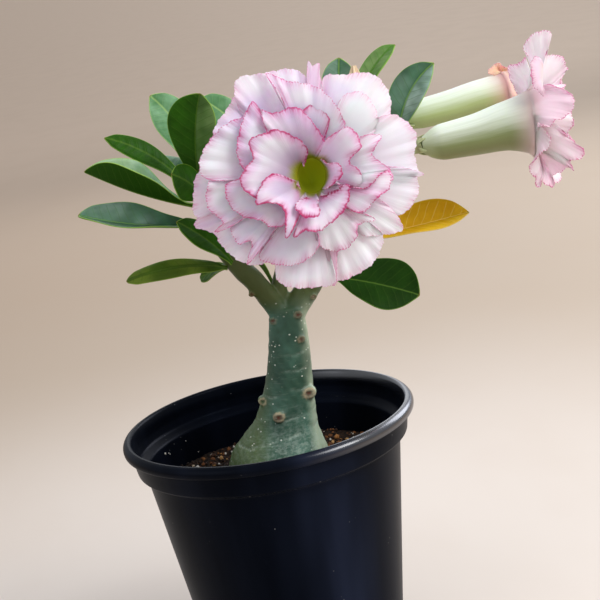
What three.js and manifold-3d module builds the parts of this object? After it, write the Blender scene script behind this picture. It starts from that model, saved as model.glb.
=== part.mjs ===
// Potted desert rose: a double-flowered adenium standing in a black nursery pot.
// Millimetres, +Z up. The origin is the centre of the pot's flat base, and the open bloom faces -Y.
import * as THREE from 'three';
import { mergeVertices } from 'three/addons/utils/BufferGeometryUtils.js';
import Module from 'manifold-3d';

const wasm = await Module();
wasm.setup();

// ---------------------------------------------------------------- driving dimensions

const GAP = 0.3;
const SLIVER = 0.04;
const WELD = 1e-4;
const POT = {
  height: 100, rimRadius: 57, rimInner: 53.4, rimUnderside: 95.6, collarRadius: 53.4, collarBottom: 87.4,
  bodyTop: 49.9, baseRadius: 37.9, wall: 1.5, floor: 1.8, sides: 40,
  drainHoles: 6, drainRadius: 3.6, drainRing: 28,
};
const SOIL = {
  top: 76, clearance: 0.6, relief: 0.9, sides: 28, rings: 6, chips: 12, chipSize: 2.2, chipRing: [25, 43],
};
const LEAF_THICKNESS = 0.9;
const PETAL_THICKNESS = 0.7;
const SEPAL_ROOT = 1.2;
const VIEWING_DEPTH = 500;
const ROOT_WIDTH = 3;
const TUBE_SIDES = 12;
const TUBE_STEPS = 7;
const PETAL_COLUMNS = 6;
const PETAL_ROWS = 3;
const SIDE_PETAL_ROWS = 2;

const vec = (x, y, z) => new THREE.Vector3(x, y, z);
const TURN = Math.PI * 2;

// ---------------------------------------------------------------- solids

/** A geometry with its positions alone. */
function stripped(geometry) {
  geometry.deleteAttribute('normal');
  geometry.deleteAttribute('uv');
  return geometry;
}

/** The manifold solid of a closed geometry. */
function solid(geometry) {
  const merged = mergeVertices(stripped(geometry.clone()), WELD);
  return new wasm.Manifold(new wasm.Mesh({
    numProp: 3,
    vertProperties: new Float32Array(merged.attributes.position.array),
    triVerts: new Uint32Array(merged.index.array),
  }));
}

/** The largest piece of a solid: loose scraps go, and a hollow that joining has sealed is filled. */
function largest(body) {
  return body.simplify(SLIVER).decompose()
    .reduce((best, piece) => (piece.volume() > best.volume() ? piece : best));
}

/** A three.js geometry of a manifold solid. */
function geometryOf(body) {
  const mesh = body.getMesh();
  const geometry = new THREE.BufferGeometry();
  geometry.setAttribute('position', new THREE.Float32BufferAttribute(mesh.vertProperties, 3));
  geometry.setIndex(Array.from(mesh.triVerts));
  geometry.computeVertexNormals();
  return geometry;
}

const joined = (bodies) => bodies.reduce((sum, body) => sum.add(body));

/** A repeatable random number between 0 and 1. */
function seeded(seed) {
  let state = seed;
  return () => {
    state = (state * 16807) % 2147483647;
    return state / 2147483647;
  };
}

/** Turns a closed geometry's faces outward if they all point inward. */
function facedOut(geometry) {
  const p = geometry.attributes.position;
  const index = geometry.index.array;
  let volume = 0;
  for (let i = 0; i < index.length; i += 3) {
    const [a, b, c] = [0, 1, 2].map((k) => vec().fromBufferAttribute(p, index[i + k]));
    volume += a.dot(b.cross(c));
  }
  for (let i = 0; volume < 0 && i < index.length; i += 3) [index[i], index[i + 1]] = [index[i + 1], index[i]];
  return geometry;
}

/** A smooth curve through points. */
const curveOf = (points) => new THREE.CatmullRomCurve3(points.map((p) => vec(...p)), false, 'centripetal');

/** A closed sheet: pointAt(u, v) on a grid, thickened to both sides and split alike on both faces. */
function sheet(pointAt, columns, rows, thickness) {
  const across = columns + 1;
  const grid = [];
  for (let j = 0; j <= rows; j += 1) {
    for (let i = 0; i <= columns; i += 1) grid.push(pointAt(i / columns, j / rows));
  }
  const at = (i, j) => grid[Math.min(rows, Math.max(0, j)) * across + Math.min(columns, Math.max(0, i))];
  const faces = [[], []];
  for (let j = 0; j <= rows; j += 1) {
    for (let i = 0; i <= columns; i += 1) {
      const alongU = at(i + 1, j).clone().sub(at(i - 1, j));
      const alongV = at(i, j + 1).clone().sub(at(i, j - 1));
      const half = alongU.cross(alongV).setLength(thickness / 2);
      faces[0].push(at(i, j).clone().add(half));
      faces[1].push(at(i, j).clone().sub(half));
    }
  }
  const count = grid.length;
  const index = [];
  for (let j = 0; j < rows; j += 1) {
    for (let i = 0; i < columns; i += 1) {
      const a = j * across + i;
      const [b, c, d] = [a + 1, a + across + 1, a + across];
      index.push(a, b, c, a, c, d);
      index.push(a + count, c + count, b + count, a + count, d + count, c + count);
    }
  }
  const border = [];
  for (let i = 0; i < columns; i += 1) border.push(i);
  for (let j = 0; j < rows; j += 1) border.push(j * across + columns);
  for (let i = columns; i > 0; i -= 1) border.push(rows * across + i);
  for (let j = rows; j > 0; j -= 1) border.push(j * across);
  border.forEach((a, k) => {
    const b = border[(k + 1) % border.length];
    index.push(a, a + count, b + count, a, b + count, b);
  });
  const geometry = new THREE.BufferGeometry();
  const positions = faces.flat().flatMap((p) => p.toArray());
  geometry.setAttribute('position', new THREE.Float32BufferAttribute(positions, 3));
  geometry.setIndex(index);
  return facedOut(geometry);
}

/** Reads a list of values evenly spaced over 0 to 1, with straight steps between them. */
function stepped(values, t) {
  const place = Math.min(Math.max(t, 0), 1) * (values.length - 1);
  const low = Math.min(Math.floor(place), values.length - 2);
  return values[low] + (values[low + 1] - values[low]) * (place - low);
}

/** A round limb: a cylinder bent along a smooth curve, its radius read from a list. */
function limb(points, radii, { sides = 10, steps = 12, grow = 0, lobes = 0 } = {}) {
  const curve = curveOf(points);
  const frames = curve.computeFrenetFrames(steps);
  const geometry = new THREE.CylinderGeometry(1, 1, 1, sides, steps);
  const p = geometry.attributes.position;
  for (let i = 0; i < p.count; i += 1) {
    const step = Math.round((p.getY(i) + 0.5) * steps);
    const angle = Math.atan2(p.getZ(i), p.getX(i));
    const swing = Math.sin(3 * angle + 0.8) + 0.6 * Math.sin(5 * angle);
    const lobe = 1 + lobes * (1 - step / steps) ** 2 * swing;
    const radius = Math.hypot(p.getX(i), p.getZ(i)) * (stepped(radii, step / steps) * lobe + grow);
    const place = curve.getPoint(step / steps)
      .addScaledVector(frames.normals[step], radius * Math.cos(angle))
      .addScaledVector(frames.binormals[step], radius * Math.sin(angle));
    p.setXYZ(i, place.x, place.y, place.z);
  }
  return solid(facedOut(geometry));
}

/** A round body turned about +Z from a profile of distances from the axis and heights. */
const lathe = (profile, sides) => new THREE.LatheGeometry(
  profile.map(([r, z]) => new THREE.Vector2(r, z)), sides).rotateX(Math.PI / 2);

// ---------------------------------------------------------------- pot and soil

/** The pot wall's outer radius at a height below the collar. */
const bodyRadius = (z) => POT.baseRadius + (POT.bodyTop - POT.baseRadius) * (z / POT.collarBottom);

/** Tapered pot with a stepped collar, a rolled rim and drain holes round its floor. */
function potSolid() {
  const { height, rimRadius, rimInner, rimUnderside, collarRadius, collarBottom, wall, floor } = POT;
  const shell = solid(facedOut(lathe([
    [0, 0], [POT.baseRadius - 1, 0], [bodyRadius(1), 1], [POT.bodyTop, collarBottom - 0.8],
    [collarRadius - 0.3, collarBottom], [collarRadius + 0.9, rimUnderside - 0.6],
    [rimRadius - 0.7, rimUnderside], [rimRadius, rimUnderside + 1.4], [rimRadius - 0.3, height - 0.9],
    [rimRadius - 1.6, height], [rimInner, height - 0.4],
    [collarRadius + 0.9 - wall, rimUnderside - 0.6], [collarRadius - wall, collarBottom + 2.6],
    [POT.bodyTop - wall, collarBottom + 0.8], [bodyRadius(floor) - wall, floor], [0, floor],
  ], POT.sides)));
  let pot = shell;
  for (let i = 0; i < POT.drainHoles; i += 1) {
    const angle = (i / POT.drainHoles) * TURN;
    const [x, y] = [POT.drainRing * Math.cos(angle), POT.drainRing * Math.sin(angle)];
    const hole = new THREE.CylinderGeometry(POT.drainRadius, POT.drainRadius, 3 * floor, 8)
      .rotateX(Math.PI / 2).translate(x, y, floor / 2);
    pot = pot.subtract(solid(hole));
  }
  return pot;
}

/** Height of the crumbly soil surface above its mean level. */
const crumb = (x, y) => SOIL.relief * (0.5 * Math.sin(x * 1.37 + y * 1.11)
  + Math.sin(x * 0.61 + 1.3 * Math.sin(y * 0.47)) * Math.sin(y * 0.53 + 0.9));

/** Soil filling the pot, with a crumbly top and coarse chips sunk into it. */
function soilSolid() {
  const rim = bodyRadius(SOIL.top) - POT.wall - SOIL.clearance;
  const bottom = POT.floor + GAP;
  const profile = [[0, bottom], [bodyRadius(bottom) - POT.wall - SOIL.clearance, bottom]];
  for (let i = 0; i <= SOIL.rings; i += 1) profile.push([rim * (1 - i / SOIL.rings), SOIL.top]);
  const disc = lathe(profile, SOIL.sides);
  const p = disc.attributes.position;
  for (let i = 0; i < p.count; i += 1) {
    const inner = Math.hypot(p.getX(i), p.getY(i)) < rim - 1;
    if (p.getZ(i) > SOIL.top - 1 && inner) p.setZ(i, SOIL.top + crumb(p.getX(i), p.getY(i)));
  }
  const random = seeded(11);
  let soil = solid(facedOut(disc));
  for (let i = 0; i < SOIL.chips; i += 1) {
    const angle = random() * TURN;
    const radius = SOIL.chipRing[0] + (SOIL.chipRing[1] - SOIL.chipRing[0]) * random();
    const size = SOIL.chipSize * (0.6 + 0.7 * random());
    const chip = new THREE.IcosahedronGeometry(size, 0).scale(1.3, 1, 0.7).rotateZ(random() * TURN)
      .translate(radius * Math.cos(angle), radius * Math.sin(angle), SOIL.top + 0.2 * size);
    soil = soil.add(solid(chip));
  }
  return soil;
}

// ---------------------------------------------------------------- stem

// Each limb: the points of its middle line from root to tip, and its radii evenly spaced along it.
const CAUDEX = {
  points: [[0, 0, 50], [0.5, 0, 62], [1.5, 0, 76], [4.5, 0, 86.2], [6.9, 0, 95], [9.3, 0, 104.5],
    [11.1, 0, 113], [12.8, 0, 123], [14, 0, 134], [14.4, 0, 141]],
  radii: [4, 15, 20.5, 17.3, 12.5, 10.3, 9, 8.1, 7.2, 6],
  lobes: 0.035,
};
const BRANCHES = {
  left: {
    points: [[13.4, 0, 137], [8.8, -1, 145.4], [5, -2, 152.4], [0.1, -3, 159.7], [-3.9, -4, 167.3],
      [-7, -4, 175], [-9, -3.5, 183], [-9.6, -3, 190.5]],
    radii: [4.6, 4.1, 4, 4.1, 3.9, 3.7, 3.5, 3.4, 2.4],
  },
  middle: {
    points: [[14, 1, 139], [13.4, 2, 148], [16.8, 4, 156], [22, 6, 166], [25.5, 7.5, 177], [24, 9, 187],
      [22.5, 9.5, 193]],
    radii: [3.6, 3.1, 2.9, 2.7, 2.6, 2.2, 1.6],
  },
  right: {
    points: [[15.6, 0, 137], [21.7, 1, 143.4], [29, 3, 151.1], [40.3, 5, 161.3], [52.3, 6, 172.6],
      [61, 6.5, 182], [65, 6.5, 192]],
    radii: [5, 4.8, 4.6, 4.2, 3.8, 3.6, 3.3, 2.4],
  },
  twig: {
    points: [[41, 5.5, 162], [45, 8, 172], [47.5, 10.5, 184], [49, 12, 196.5]],
    radii: [3, 2.8, 2.5, 1.7],
  },
};
// Places where old leaves fell: centre and radius of the low bump that each has left.
const SCARS = [
  [4.3, -9.9, 101.4, 2.6], [17.6, -5.2, 107.3, 2.8], [18, -5.4, 128.8, 1.8], [18.4, -5, 138.2, 1.9],
  [8.6, -3.4, 137.3, 1.7], [-0.6, -2, 106.6, 2], [2.6, -3.6, 148.9, 1.3], [25.4, -2.4, 143.4, 1.4],
  [14, 9.2, 112, 2.2], [2, 11.5, 99, 2.4],
];

/** Caudex, branches, twig and leaf scars as one body, all surfaces moved out by grow. */
function stemSolid(grow) {
  const caudex = limb(CAUDEX.points, CAUDEX.radii, { sides: 14, steps: 12, grow, lobes: CAUDEX.lobes });
  const branches = Object.values(BRANCHES).map(({ points, radii }) => limb(
    points, radii, { sides: 8, steps: 9, grow }));
  const scars = SCARS.map(([x, y, z, radius]) => solid(
    new THREE.SphereGeometry(radius + grow, 6, 4).translate(x, y, z)));
  return joined([caudex, ...branches, ...scars]);
}

// ---------------------------------------------------------------- leaves

// Each leaf: base, bend and tip of its midrib, the way its upper face looks, half its width, how far each
// half-blade rises from flat about the midrib in degrees, and, where it differs from the others', its
// swell, which moves the widest place toward the tip, and its bluntness, rounder ends as it shrinks.
const LEAVES = {
  leaf_left_1: [[-10.5, 1.5, 193], [-9, 14, 213], [-21.5, 14, 227], [0.1, -0.9, 0.4], 7.4, [8, 8]],
  leaf_left_2: [[-9, -7, 190], [-9, -9, 212], [-2.6, -9, 226.5],
    [0.05, -1, 0.2], 10.4, [-8, 48], 1.7, 0.66],
  leaf_left_3: [[21.5, 8, 194], [8, 6, 215], [-3, 6, 223.4], [-0.3, -0.6, 0.7], 6, [10, 10]],
  leaf_left_4: [[-12.5, -1, 191], [-22, 3, 208], [-40.6, 4, 215.5], [0.3, -0.85, 0.6], 4.4, [-4, -4]],
  leaf_left_5: [[-13, -4, 186], [-32, -2, 193], [-50, 0, 205], [0.3, -0.1, 1], 10.6, [60, 73]],
  leaf_left_6: [[-6.5, -10, 186], [-10, -16, 196], [-18, -20, 201], [0.3, -0.8, 0.5], 7, [-8, -8]],
  leaf_left_7: [[-11, -6.5, 178.5], [-36, -8, 182], [-55, -5, 190],
    [0.05, -0.05, 1], 9.4, [8, 42], 1.35, 0.55],
  leaf_left_8: [[-2.5, -9.5, 163], [-8, -14, 174], [-19.6, -16, 183], [0.4, -0.7, 0.55], 5, [4, 12]],
  leaf_left_9: [[-4.5, -6.5, 161], [-22, -10, 168], [-42, -10, 163.5],
    [0, -0.5, 0.85], 4.1, [-16, 6], 1.3, 0.42],
  leaf_left_10: [[-4, 0.5, 160], [-9, 12, 157], [-15.8, 16, 154.7],
    [0, -0.7, 0.7], 4.2, [8, 8], 1.55, 0.6],
  leaf_left_11: [[11.5, 5.5, 148.5], [9.5, 9, 159], [-3, 12, 169], [0.5, 0.2, 0.8], 3.8, [20, 20]],
  leaf_right_1: [[47, 14.5, 197], [49, 20, 214], [51.8, 21, 228], [-0.1, -1, 0.2], 6.6, [10, 10]],
  leaf_right_2: [[51.5, 14, 197], [58, 25, 220], [74.5, 26, 228.7], [-0.5, -0.5, 0.85], 6, [12, 12]],
  leaf_right_3: [[67.5, 4.5, 194.5], [71, 6, 213], [85.3, 6, 221],
    [-0.45, -0.8, 0.5], 8.2, [8, 20], 1.15, 0.95],
  leaf_right_4: [[45.5, 2.5, 161.5], [62, 4, 160.5], [89.8, 4, 163], [0, -0.1, 1], 9.4, [60, 0]],
  leaf_right_5: [[33.5, -1.5, 149], [47, -6, 146.5], [64, -14, 139], [0.15, -0.5, 0.85], 11.4, [34, -6]],
  leaf_back_1: [[-10.5, 0.5, 187.5], [-17, 18, 200], [-30, 33, 203], [0.1, 0.2, 1], 8.4, [14, 14]],
  leaf_back_2: [[-7, 0.5, 190.5], [-3, 18, 206], [3, 34, 206], [0, -0.3, 1], 7.8, [14, 14]],
  leaf_back_3: [[64.5, 10, 186], [72, 24, 190], [84, 40, 184], [0, -0.2, 1], 8.2, [14, 14]],
  leaf_back_4: [[46.5, 13.5, 190], [40, 28, 202], [38, 44, 200], [0, -0.2, 1], 7.6, [14, 14]],
  leaf_back_5: [[22, 11.5, 188], [17, 26, 198], [16, 42, 196], [0, -0.2, 1], 7.4, [14, 14]],
};
const BLADE = { stalk: 0.9, stalkEnd: 0.06, tipEnd: 0.985, columns: 4, rows: 5, wave: 0.05 };

/** Half the blade's width at t along the midrib: a short stalk, widest past the middle, a rounded tip. */
function leafHalfWidth(t, half, swell, blunt) {
  const reach = THREE.MathUtils.clamp((t - BLADE.stalkEnd) / (1 - BLADE.stalkEnd), 0, 1);
  return BLADE.stalk + (half - BLADE.stalk) * Math.max(0, Math.sin(Math.PI * reach ** swell)) ** blunt;
}

/** The blade's middle surface: s runs from -1 to 1 across it, t from the stalk to the tip. */
function leafPoint([base, bend, tip, face, half, rise, swell = 1.55, blunt = 0.72], s, t) {
  const midrib = new THREE.QuadraticBezierCurve3(vec(...base), vec(...bend), vec(...tip));
  const along = midrib.getTangent(t);
  const side = along.clone().cross(vec(...face)).normalize();
  const up = side.clone().cross(along).normalize();
  const width = leafHalfWidth(t, half, swell, blunt);
  const angle = THREE.MathUtils.degToRad(s < 0 ? rise[0] : rise[1]);
  const wave = BLADE.wave * half * Math.sin(3.5 * Math.PI * t + 2 * s) * s * s;
  return midrib.getPoint(t).addScaledVector(side, s * width * Math.cos(angle))
    .addScaledVector(up, Math.abs(s) * width * Math.sin(angle) + wave);
}

/** One leaf blade with its stalk. */
const leafSolid = (leaf) => solid(sheet(
  (u, v) => leafPoint(leaf, 2 * u - 1, BLADE.tipEnd * v), BLADE.columns, BLADE.rows, LEAF_THICKNESS));

// ---------------------------------------------------------------- blooms

// A bloom's own frame has its origin at the middle of the mouth, X to the right, Y up and Z out to the front.
const BLOOM_TURN = new THREE.Euler(...[76.8, -2, -10.5].map(THREE.MathUtils.degToRad));

/** A petal's solid from its middle surface: v runs from the root to the rim, u along the rim. */
const petalSolid = (rim, rows, pointAt) => solid(sheet(
  pointAt, Math.min(PETAL_COLUMNS, rim.length - 1), rows, PETAL_THICKNESS));

// The open bloom's petals, inner whorl first. x and y of each rim are seen from the front; edge is the rim's
// depth, and crest how far the petal swells forward of it between root and rim.
const OPEN_BLOOM = {
  centre: [30.5, -42, 195.7],
  throat: [6.9, 7.3],
  overlap: 1.1,
  whorls: [
    { edge: 7, crest: -4, rootDepth: -2, petals: [
      [[-3.1, 2.9], [-1.8, 5.6], [-1.5, 8.6], [-2.6, 10.2], [-5, 12], [-8.5, 13.6], [-11, 14.5],
        [-14, 14.5], [-17, 13], [-21, 11.5], [-22, 9], [-20.5, 5], [-23.5, 0.5], [-25, -4], [-20, -9],
        [-11, -9]],
      [[-2.3, -7.7], [-4.5, -4.5], [-6.7, -2.9], [-9.2, -1.3], [-12.1, -0.5], [-14.6, -0.9],
        [-17, -3.5], [-19, -7.5], [-19.5, -11.5], [-14, -11], [-10, -13], [-9, -23.5], [-4.5, -15.5],
        [-2.5, -9]],
      [[-1.7, -8.5], [-3.4, -9.3], [-5.2, -10.4], [-6, -12.3], [-5, -14.1], [-3.3, -15.8],
        [-0.4, -16.3], [2, -15.6], [2.9, -13.7], [2, -11.6], [2.5, -9.6]],
      [[3, -8], [7, -7], [12.5, -4.5], [13, -8.5], [11, -13.5], [7, -17.5], [1.5, -21], [-2, -20.5],
        [-6.5, -23], [-4, -16]],
      [[3.7, 5.6], [5, 3.6], [7.9, 3.1], [9.9, 1.7], [10.6, 0], [9.9, -2.1], [8.3, -3.6], [5, -5.5]],
    ] },
    { edge: 3.4, crest: -1.5, rootDepth: -4, petals: [
      [[-16, 14], [-17.5, 21.5], [-13.5, 20.5], [-5.5, 22.5], [1.5, 16], [4.5, 10.5], [2, 7]],
      [[-10, 14], [-15.5, 17], [-20.5, 24.5], [-25, 15], [-26, 6], [-23, 0], [-17, -5]],
      [[-19, -1], [-26.5, -2.5], [-30, -4.5], [-28.5, -11.5], [-23.5, -15.5], [-18.5, -16.5],
        [-14, -19], [-9.5, -18], [-6, -11]],
      [[5, -8], [17, -14], [22.5, -9], [27, -5], [26.5, 1], [23, -1.5], [19, -5.5], [9, -4]],
      [[5, 12], [13, 15.5], [17, 9], [13, 4], [17, 0], [18.5, -5], [9.5, -4]],
      [[-6, 17], [-3.5, 21.5], [-0.5, 23.5], [3, 22.5], [6, 19], [4, 11]],
    ] },
    { edge: -0.4, crest: 0.5, rootDepth: -6, petals: [
      [[12, 11], [20.5, 13.5], [24, 13], [21, 6.5], [27, 1.5], [28, -2], [21, -4], [12, -4]],
      [[9, -12], [22, -16], [16, -18], [15.5, -22], [11, -26.5], [4, -26], [0.5, -21], [0, -15]],
      [[-10, -18], [-18.5, -29], [-13, -31.5], [-5, -31.5], [1, -27.5], [2.5, -24], [0, -17]],
      [[-28, -8], [-28.5, -18], [-25.5, -24.5], [-21, -23.5], [-22.5, -31.5], [-16, -24], [-12, -18]],
      [[-24, -3], [-34, -1.5], [-36.5, -5.5], [-36, -12], [-31, -17], [-34, -20.5], [-27, -18],
        [-20, -13]],
      [[-27, -3], [-37.5, -1.5], [-39, 3.5], [-35.5, 11.5], [-29, 17.5], [-20, 21.5], [-20.5, 24.5],
        [-13, 16]],
      [[-9, 18], [-10, 25], [-16, 35], [-8.5, 32], [1.5, 30], [8, 24], [11.5, 16], [7, 11]],
    ] },
    { edge: -5, crest: 2.4, rootDepth: -8, petals: [
      [[6, 17], [11, 27], [17, 28.5], [21, 24.5], [23, 17.5], [18, 10]],
      [[-21, 15], [-26.5, 26], [-26, 33], [-16.5, 35], [-7, 36.5], [-2.5, 34], [-1, 25]],
      [[-17, 24], [-26.5, 27], [-29.5, 22.5], [-34, 14], [-26, 6]],
      [[-4, 26], [-2.2, 31], [-1.7, 35.6], [-1.3, 39.3], [0.2, 37.7], [2.5, 38.4], [2.6, 34.5],
        [3.6, 31], [3, 25]],
      [[3, 25], [4, 33.5], [10.5, 34.5], [20.5, 35], [26.5, 29], [27, 20], [22, 8]],
      [[18, 18], [29, 20.5], [36, 14], [35.5, 7], [36.5, 0], [27, -5]],
      [[24, 3], [36.5, 1], [37, -5], [33, -12.5], [29, -14], [20, -9]],
      [[21, -7], [28, -12.5], [31.5, -19], [24.5, -21], [17, -21], [12, -15]],
      [[-12, -23], [-12, -36.5], [-7.5, -39], [1.5, -39], [8, -37.5], [6, -28], [3, -22]],
      [[3, -23], [8, -36.5], [16.5, -34], [22, -29.5], [24.5, -21], [16, -15]],
      [[-28, 3], [-39.5, 0.5], [-41, -7], [-40.5, -14.5], [-35, -14], [-25, -6]],
      [[-28, -7], [-41, -17.5], [-34, -20.5], [-31, -25], [-24, -30.5], [-17, -31], [-11, -24]],
    ] },
  ],
};

/**
 * A petal of the open bloom. Seen from the front it runs straight from its root at the throat to its rim.
 * Its depth follows a Bezier curve through root, crest and edge, and its rim is tilted and waved.
 */
function openPetal(outline, { edge, crest, rootDepth }, layer, number) {
  const { throat, overlap } = OPEN_BLOOM;
  const reach = 1 - edge / VIEWING_DEPTH;
  const [[x0, y0], [x1, y1]] = [outline[0], outline[outline.length - 1]];
  const ordered = x0 * y1 < y0 * x1 ? [...outline].reverse() : outline;
  const tilt = (k) => overlap * (2 * (k / (ordered.length - 1)) - 1);
  const rim = ordered.map(([x, y], k) => [x * reach, y * reach, edge + tilt(k)]);
  const middle = outline.reduce((sum, [x, y]) => sum.add(vec(x, y, 0)), vec(0, 0, 0)).normalize();
  const [wide, high] = throat.map((radius) => radius - 0.1 * layer);
  const root = vec(middle.x * wide, middle.y * high, rootDepth);
  const centre = rim.reduce((sum, p) => sum.add(vec(...p)), vec(0, 0, 0)).divideScalar(rim.length);
  const out = centre.sub(root).normalize();
  const chord = vec(...rim[rim.length - 1]).sub(vec(...rim[0]));
  const side = chord.addScaledVector(out, -chord.dot(out)).normalize();
  const curve = curveOf(rim);
  const wave = 0.5 + 0.15 * layer;
  const waves = 2 + (number % 2);
  return petalSolid(rim, PETAL_ROWS, (u, v) => {
    const end = curve.getPointAt(u);
    const point = root.clone().addScaledVector(side, (u - 0.5) * ROOT_WIDTH).lerp(end, v);
    const heading = Math.atan2(end.y - root.y, end.x - root.x);
    const ripple = wave * v * v * Math.sin(TURN * waves * u + heading);
    point.z = (1 - v) ** 2 * root.z + 2 * v * (1 - v) * (end.z + crest) + v * v * end.z + ripple;
    return point;
  });
}

/** All petals of the open bloom. */
const openPetals = () => OPEN_BLOOM.whorls.flatMap(
  (whorl, layer) => whorl.petals.map((outline, number) => openPetal(outline, whorl, layer, number)));

/** A hollow flower tube along a curve, closed at its foot and open at its mouth. */
function tubeSolid({ points, radii, wall }) {
  const grid = { sides: TUBE_SIDES, steps: TUBE_STEPS };
  const [mouth, beyond] = points.slice(-2).map((p) => vec(...p));
  const reach = beyond.clone().sub(mouth).setLength(2).add(beyond).toArray();
  const hollow = [[...points.slice(1), reach], [...radii.slice(1), radii[radii.length - 1] + 0.2]];
  return limb(points, radii, grid).subtract(limb(...hollow, { ...grid, grow: -wall }));
}

const OPEN_TUBE = {
  points: [[0.5, -8, -37], [0.2, -5.5, -30], [0, -2.5, -20], [0, 0, -10], [0, 0, -0.5]],
  radii: [2.2, 4.8, 6.4, 7.3, 7.7],
  wall: 0.9,
};
const OPEN_CALYX = {
  stalk: [[-3.5, -14, -46], [-1.8, -11.5, -42.5], [0.4, -8.3, -37.4]],
  stalkRadii: [1.5, 1.5, 3.2],
  sepals: {
    foot: [0.4, -8.4, -37.6], reach: [0.3, -5.5, -30],
    length: 7, start: 2.8, spread: 6, half: 1.9, count: 5,
  },
};

/** Small pointed sepals round a tube's foot, spaced evenly about the line from foot to reach. */
function sepalSolids({ foot, reach, length, start, spread, half, count }) {
  const axis = vec(...reach).sub(vec(...foot)).normalize();
  const across = axis.clone().cross(vec(0.31, 0.72, 0.62)).normalize();
  const sepals = [];
  for (let i = 0; i < count; i += 1) {
    const out = across.clone().applyAxisAngle(axis, (i / count) * TURN);
    const side = axis.clone().cross(out);
    sepals.push(solid(sheet((u, v) => vec(...foot)
      .addScaledVector(axis, (length + SEPAL_ROOT) * v - SEPAL_ROOT)
      .addScaledVector(out, start + (spread - start) * Math.sin(v * Math.PI * 0.5))
      .addScaledVector(side, (2 * u - 1) * half * (1 - 0.8 * v)), 1, 2, LEAF_THICKNESS)));
  }
  return sepals;
}

// The two side blooms face the right. Frame as for the open bloom, its origin at the mouth of the front one.
// Each petal has its rim and the turns in degrees, from the top toward the viewer, between which its root lies
// on the mouth's circle. reach is how far a petal leans on along the tube and outward before it meets its
// rim, as shares of its length.
const FRONT_BLOOM = {
  centre: [116, -8, 198.5],
  tube: {
    points: [[-39.6, -12, -3], [-36, -11.6, -2.6], [-32.6, -11, -2.2], [-19.6, -8.2, -1.4],
      [-9.2, -5.4, -0.6], [-2, -4.3, 0], [1, -4, 0.2]],
    radii: [3, 5.2, 6.4, 7.2, 8.2, 9.6, 11.4, 12.8],
    wall: 0.9,
  },
  reach: [0.26, 0.3],
  petals: [
    { rim: [[-2.4, 20, 3], [-2.5, 22.6, 3], [-2.3, 25, 4], [-0.7, 27.2, 5], [1.9, 28.6, 6],
      [4.7, 29, 6], [6.5, 27.8, 5], [6.3, 25.8, 4], [5.5, 23, 4], [4.9, 20.2, 5]], turns: [-25, 25] },
    { rim: [[-1.7, 20.6, -2], [-3.3, 18.8, -4], [-5.3, 18.6, -6], [-7.3, 17.8, -7], [-7.5, 16.2, -7],
      [-6.5, 13.4, -7], [-5.3, 11, -7], [-4.6, 7.4, -7]], turns: [-10, -52] },
    { rim: [[4.5, 19.8, 1], [5.5, 20.6, 0], [7.5, 21.3, -2], [9.5, 21.4, -3], [12.3, 21.3, -4],
      [13.1, 19.8, -5], [14.3, 17.8, -6], [14.9, 16.4, -6], [13.5, 14.8, -7], [12.3, 12.6, -7],
      [12.9, 10.2, -8], [14.3, 8.6, -8], [16.3, 8.4, -8], [16.7, 6.8, -8], [16.3, 2.6, -8],
      [14.7, 0.1, -8]], turns: [0, -95] },
    { rim: [[4.1, 7.8, 14.5], [6.3, 7, 16], [9.5, 5.4, 17.5], [11.9, 3.8, 18], [12.9, 2.2, 18],
      [13, -0.3, 18], [11.9, -1.9, 18], [9.1, -4.3, 18], [6.3, -5.3, 18], [4.7, -6.7, 17.5],
      [3.1, -7.5, 17], [1.1, -7.3, 16.2], [-0.1, -6.1, 15.2]], turns: [30, 112] },
    { rim: [[12.6, -0.5, -2], [14.3, -0.9, -3], [16.3, -1.9, -3], [16.7, -3.3, -3], [16.1, -5.5, -4],
      [14.9, -7.5, -4], [16.3, -9.3, -5], [13.5, -11.1, -5], [10, -9.9, -5]], turns: [-85, -150] },
    { rim: [[3, -8.6, 15], [4.3, -10.3, 15], [5.2, -12.3, 14.5], [4.3, -14.9, 13.5], [2.3, -16.7, 12.5],
      [0.1, -17.6, 11.5], [-1.3, -19.5, 10], [-2, -21.5, 9.5], [-1.3, -23.3, 9], [0.5, -24.9, 8],
      [1.1, -27.3, 7], [2.7, -28.4, 6], [3.8, -26.6, 6.5]], turns: [98, 175] },
    { rim: [[3.4, -26.8, 7.5], [4.5, -27.5, 6], [7.1, -28.7, 5], [7.8, -27.5, 5], [7.1, -25.1, 5.5],
      [8.7, -23.1, 6], [10.5, -23.1, 6], [11.9, -20.7, 7], [11.1, -17.1, 8]], turns: [176, 128] },
    { rim: [[11.2, -19, 7], [11.9, -20.7, 8], [13.5, -21.5, 8], [14.3, -22.7, 8], [14, -20.1, 8.5],
      [12.7, -18.9, 9], [14.7, -18.3, 9], [17.1, -17.9, 9], [18.1, -15.9, 10], [17.5, -14.7, 11],
      [14.7, -13.1, 12], [12.3, -11.3, 13], [9, -7.9, 14]], turns: [150, 84] },
    { rim: [[2, -15, 2], [9, -26, -2], [13, -23, -9], [14, -16, -13], [4, -11, -9]], turns: [170, 232] },
    { rim: [[2, -11, -8], [12, -15, -14], [15, -6, -17], [14, 2, -17], [4, 0, -11]], turns: [-135, -66] },
    { rim: [[2, 0, -11], [13, 3, -17], [14, 13, -15], [10, 20, -11], [4, 8, -6]], turns: [-74, -22] },
  ],
  stalk: [[-49.6, -13.4, -12.6], [-46.6, -14.4, -8], [-43, -13.4, -4.6], [-39.4, -12, -3]],
  stalkRadii: [1.8, 1.8, 2, 4],
  sepals: {
    foot: [-40, -12.1, -3.1], reach: [-34, -11.4, -2.4],
    length: 7.5, start: 3.6, spread: 7.4, half: 2.2, count: 5,
  },
};
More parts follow.
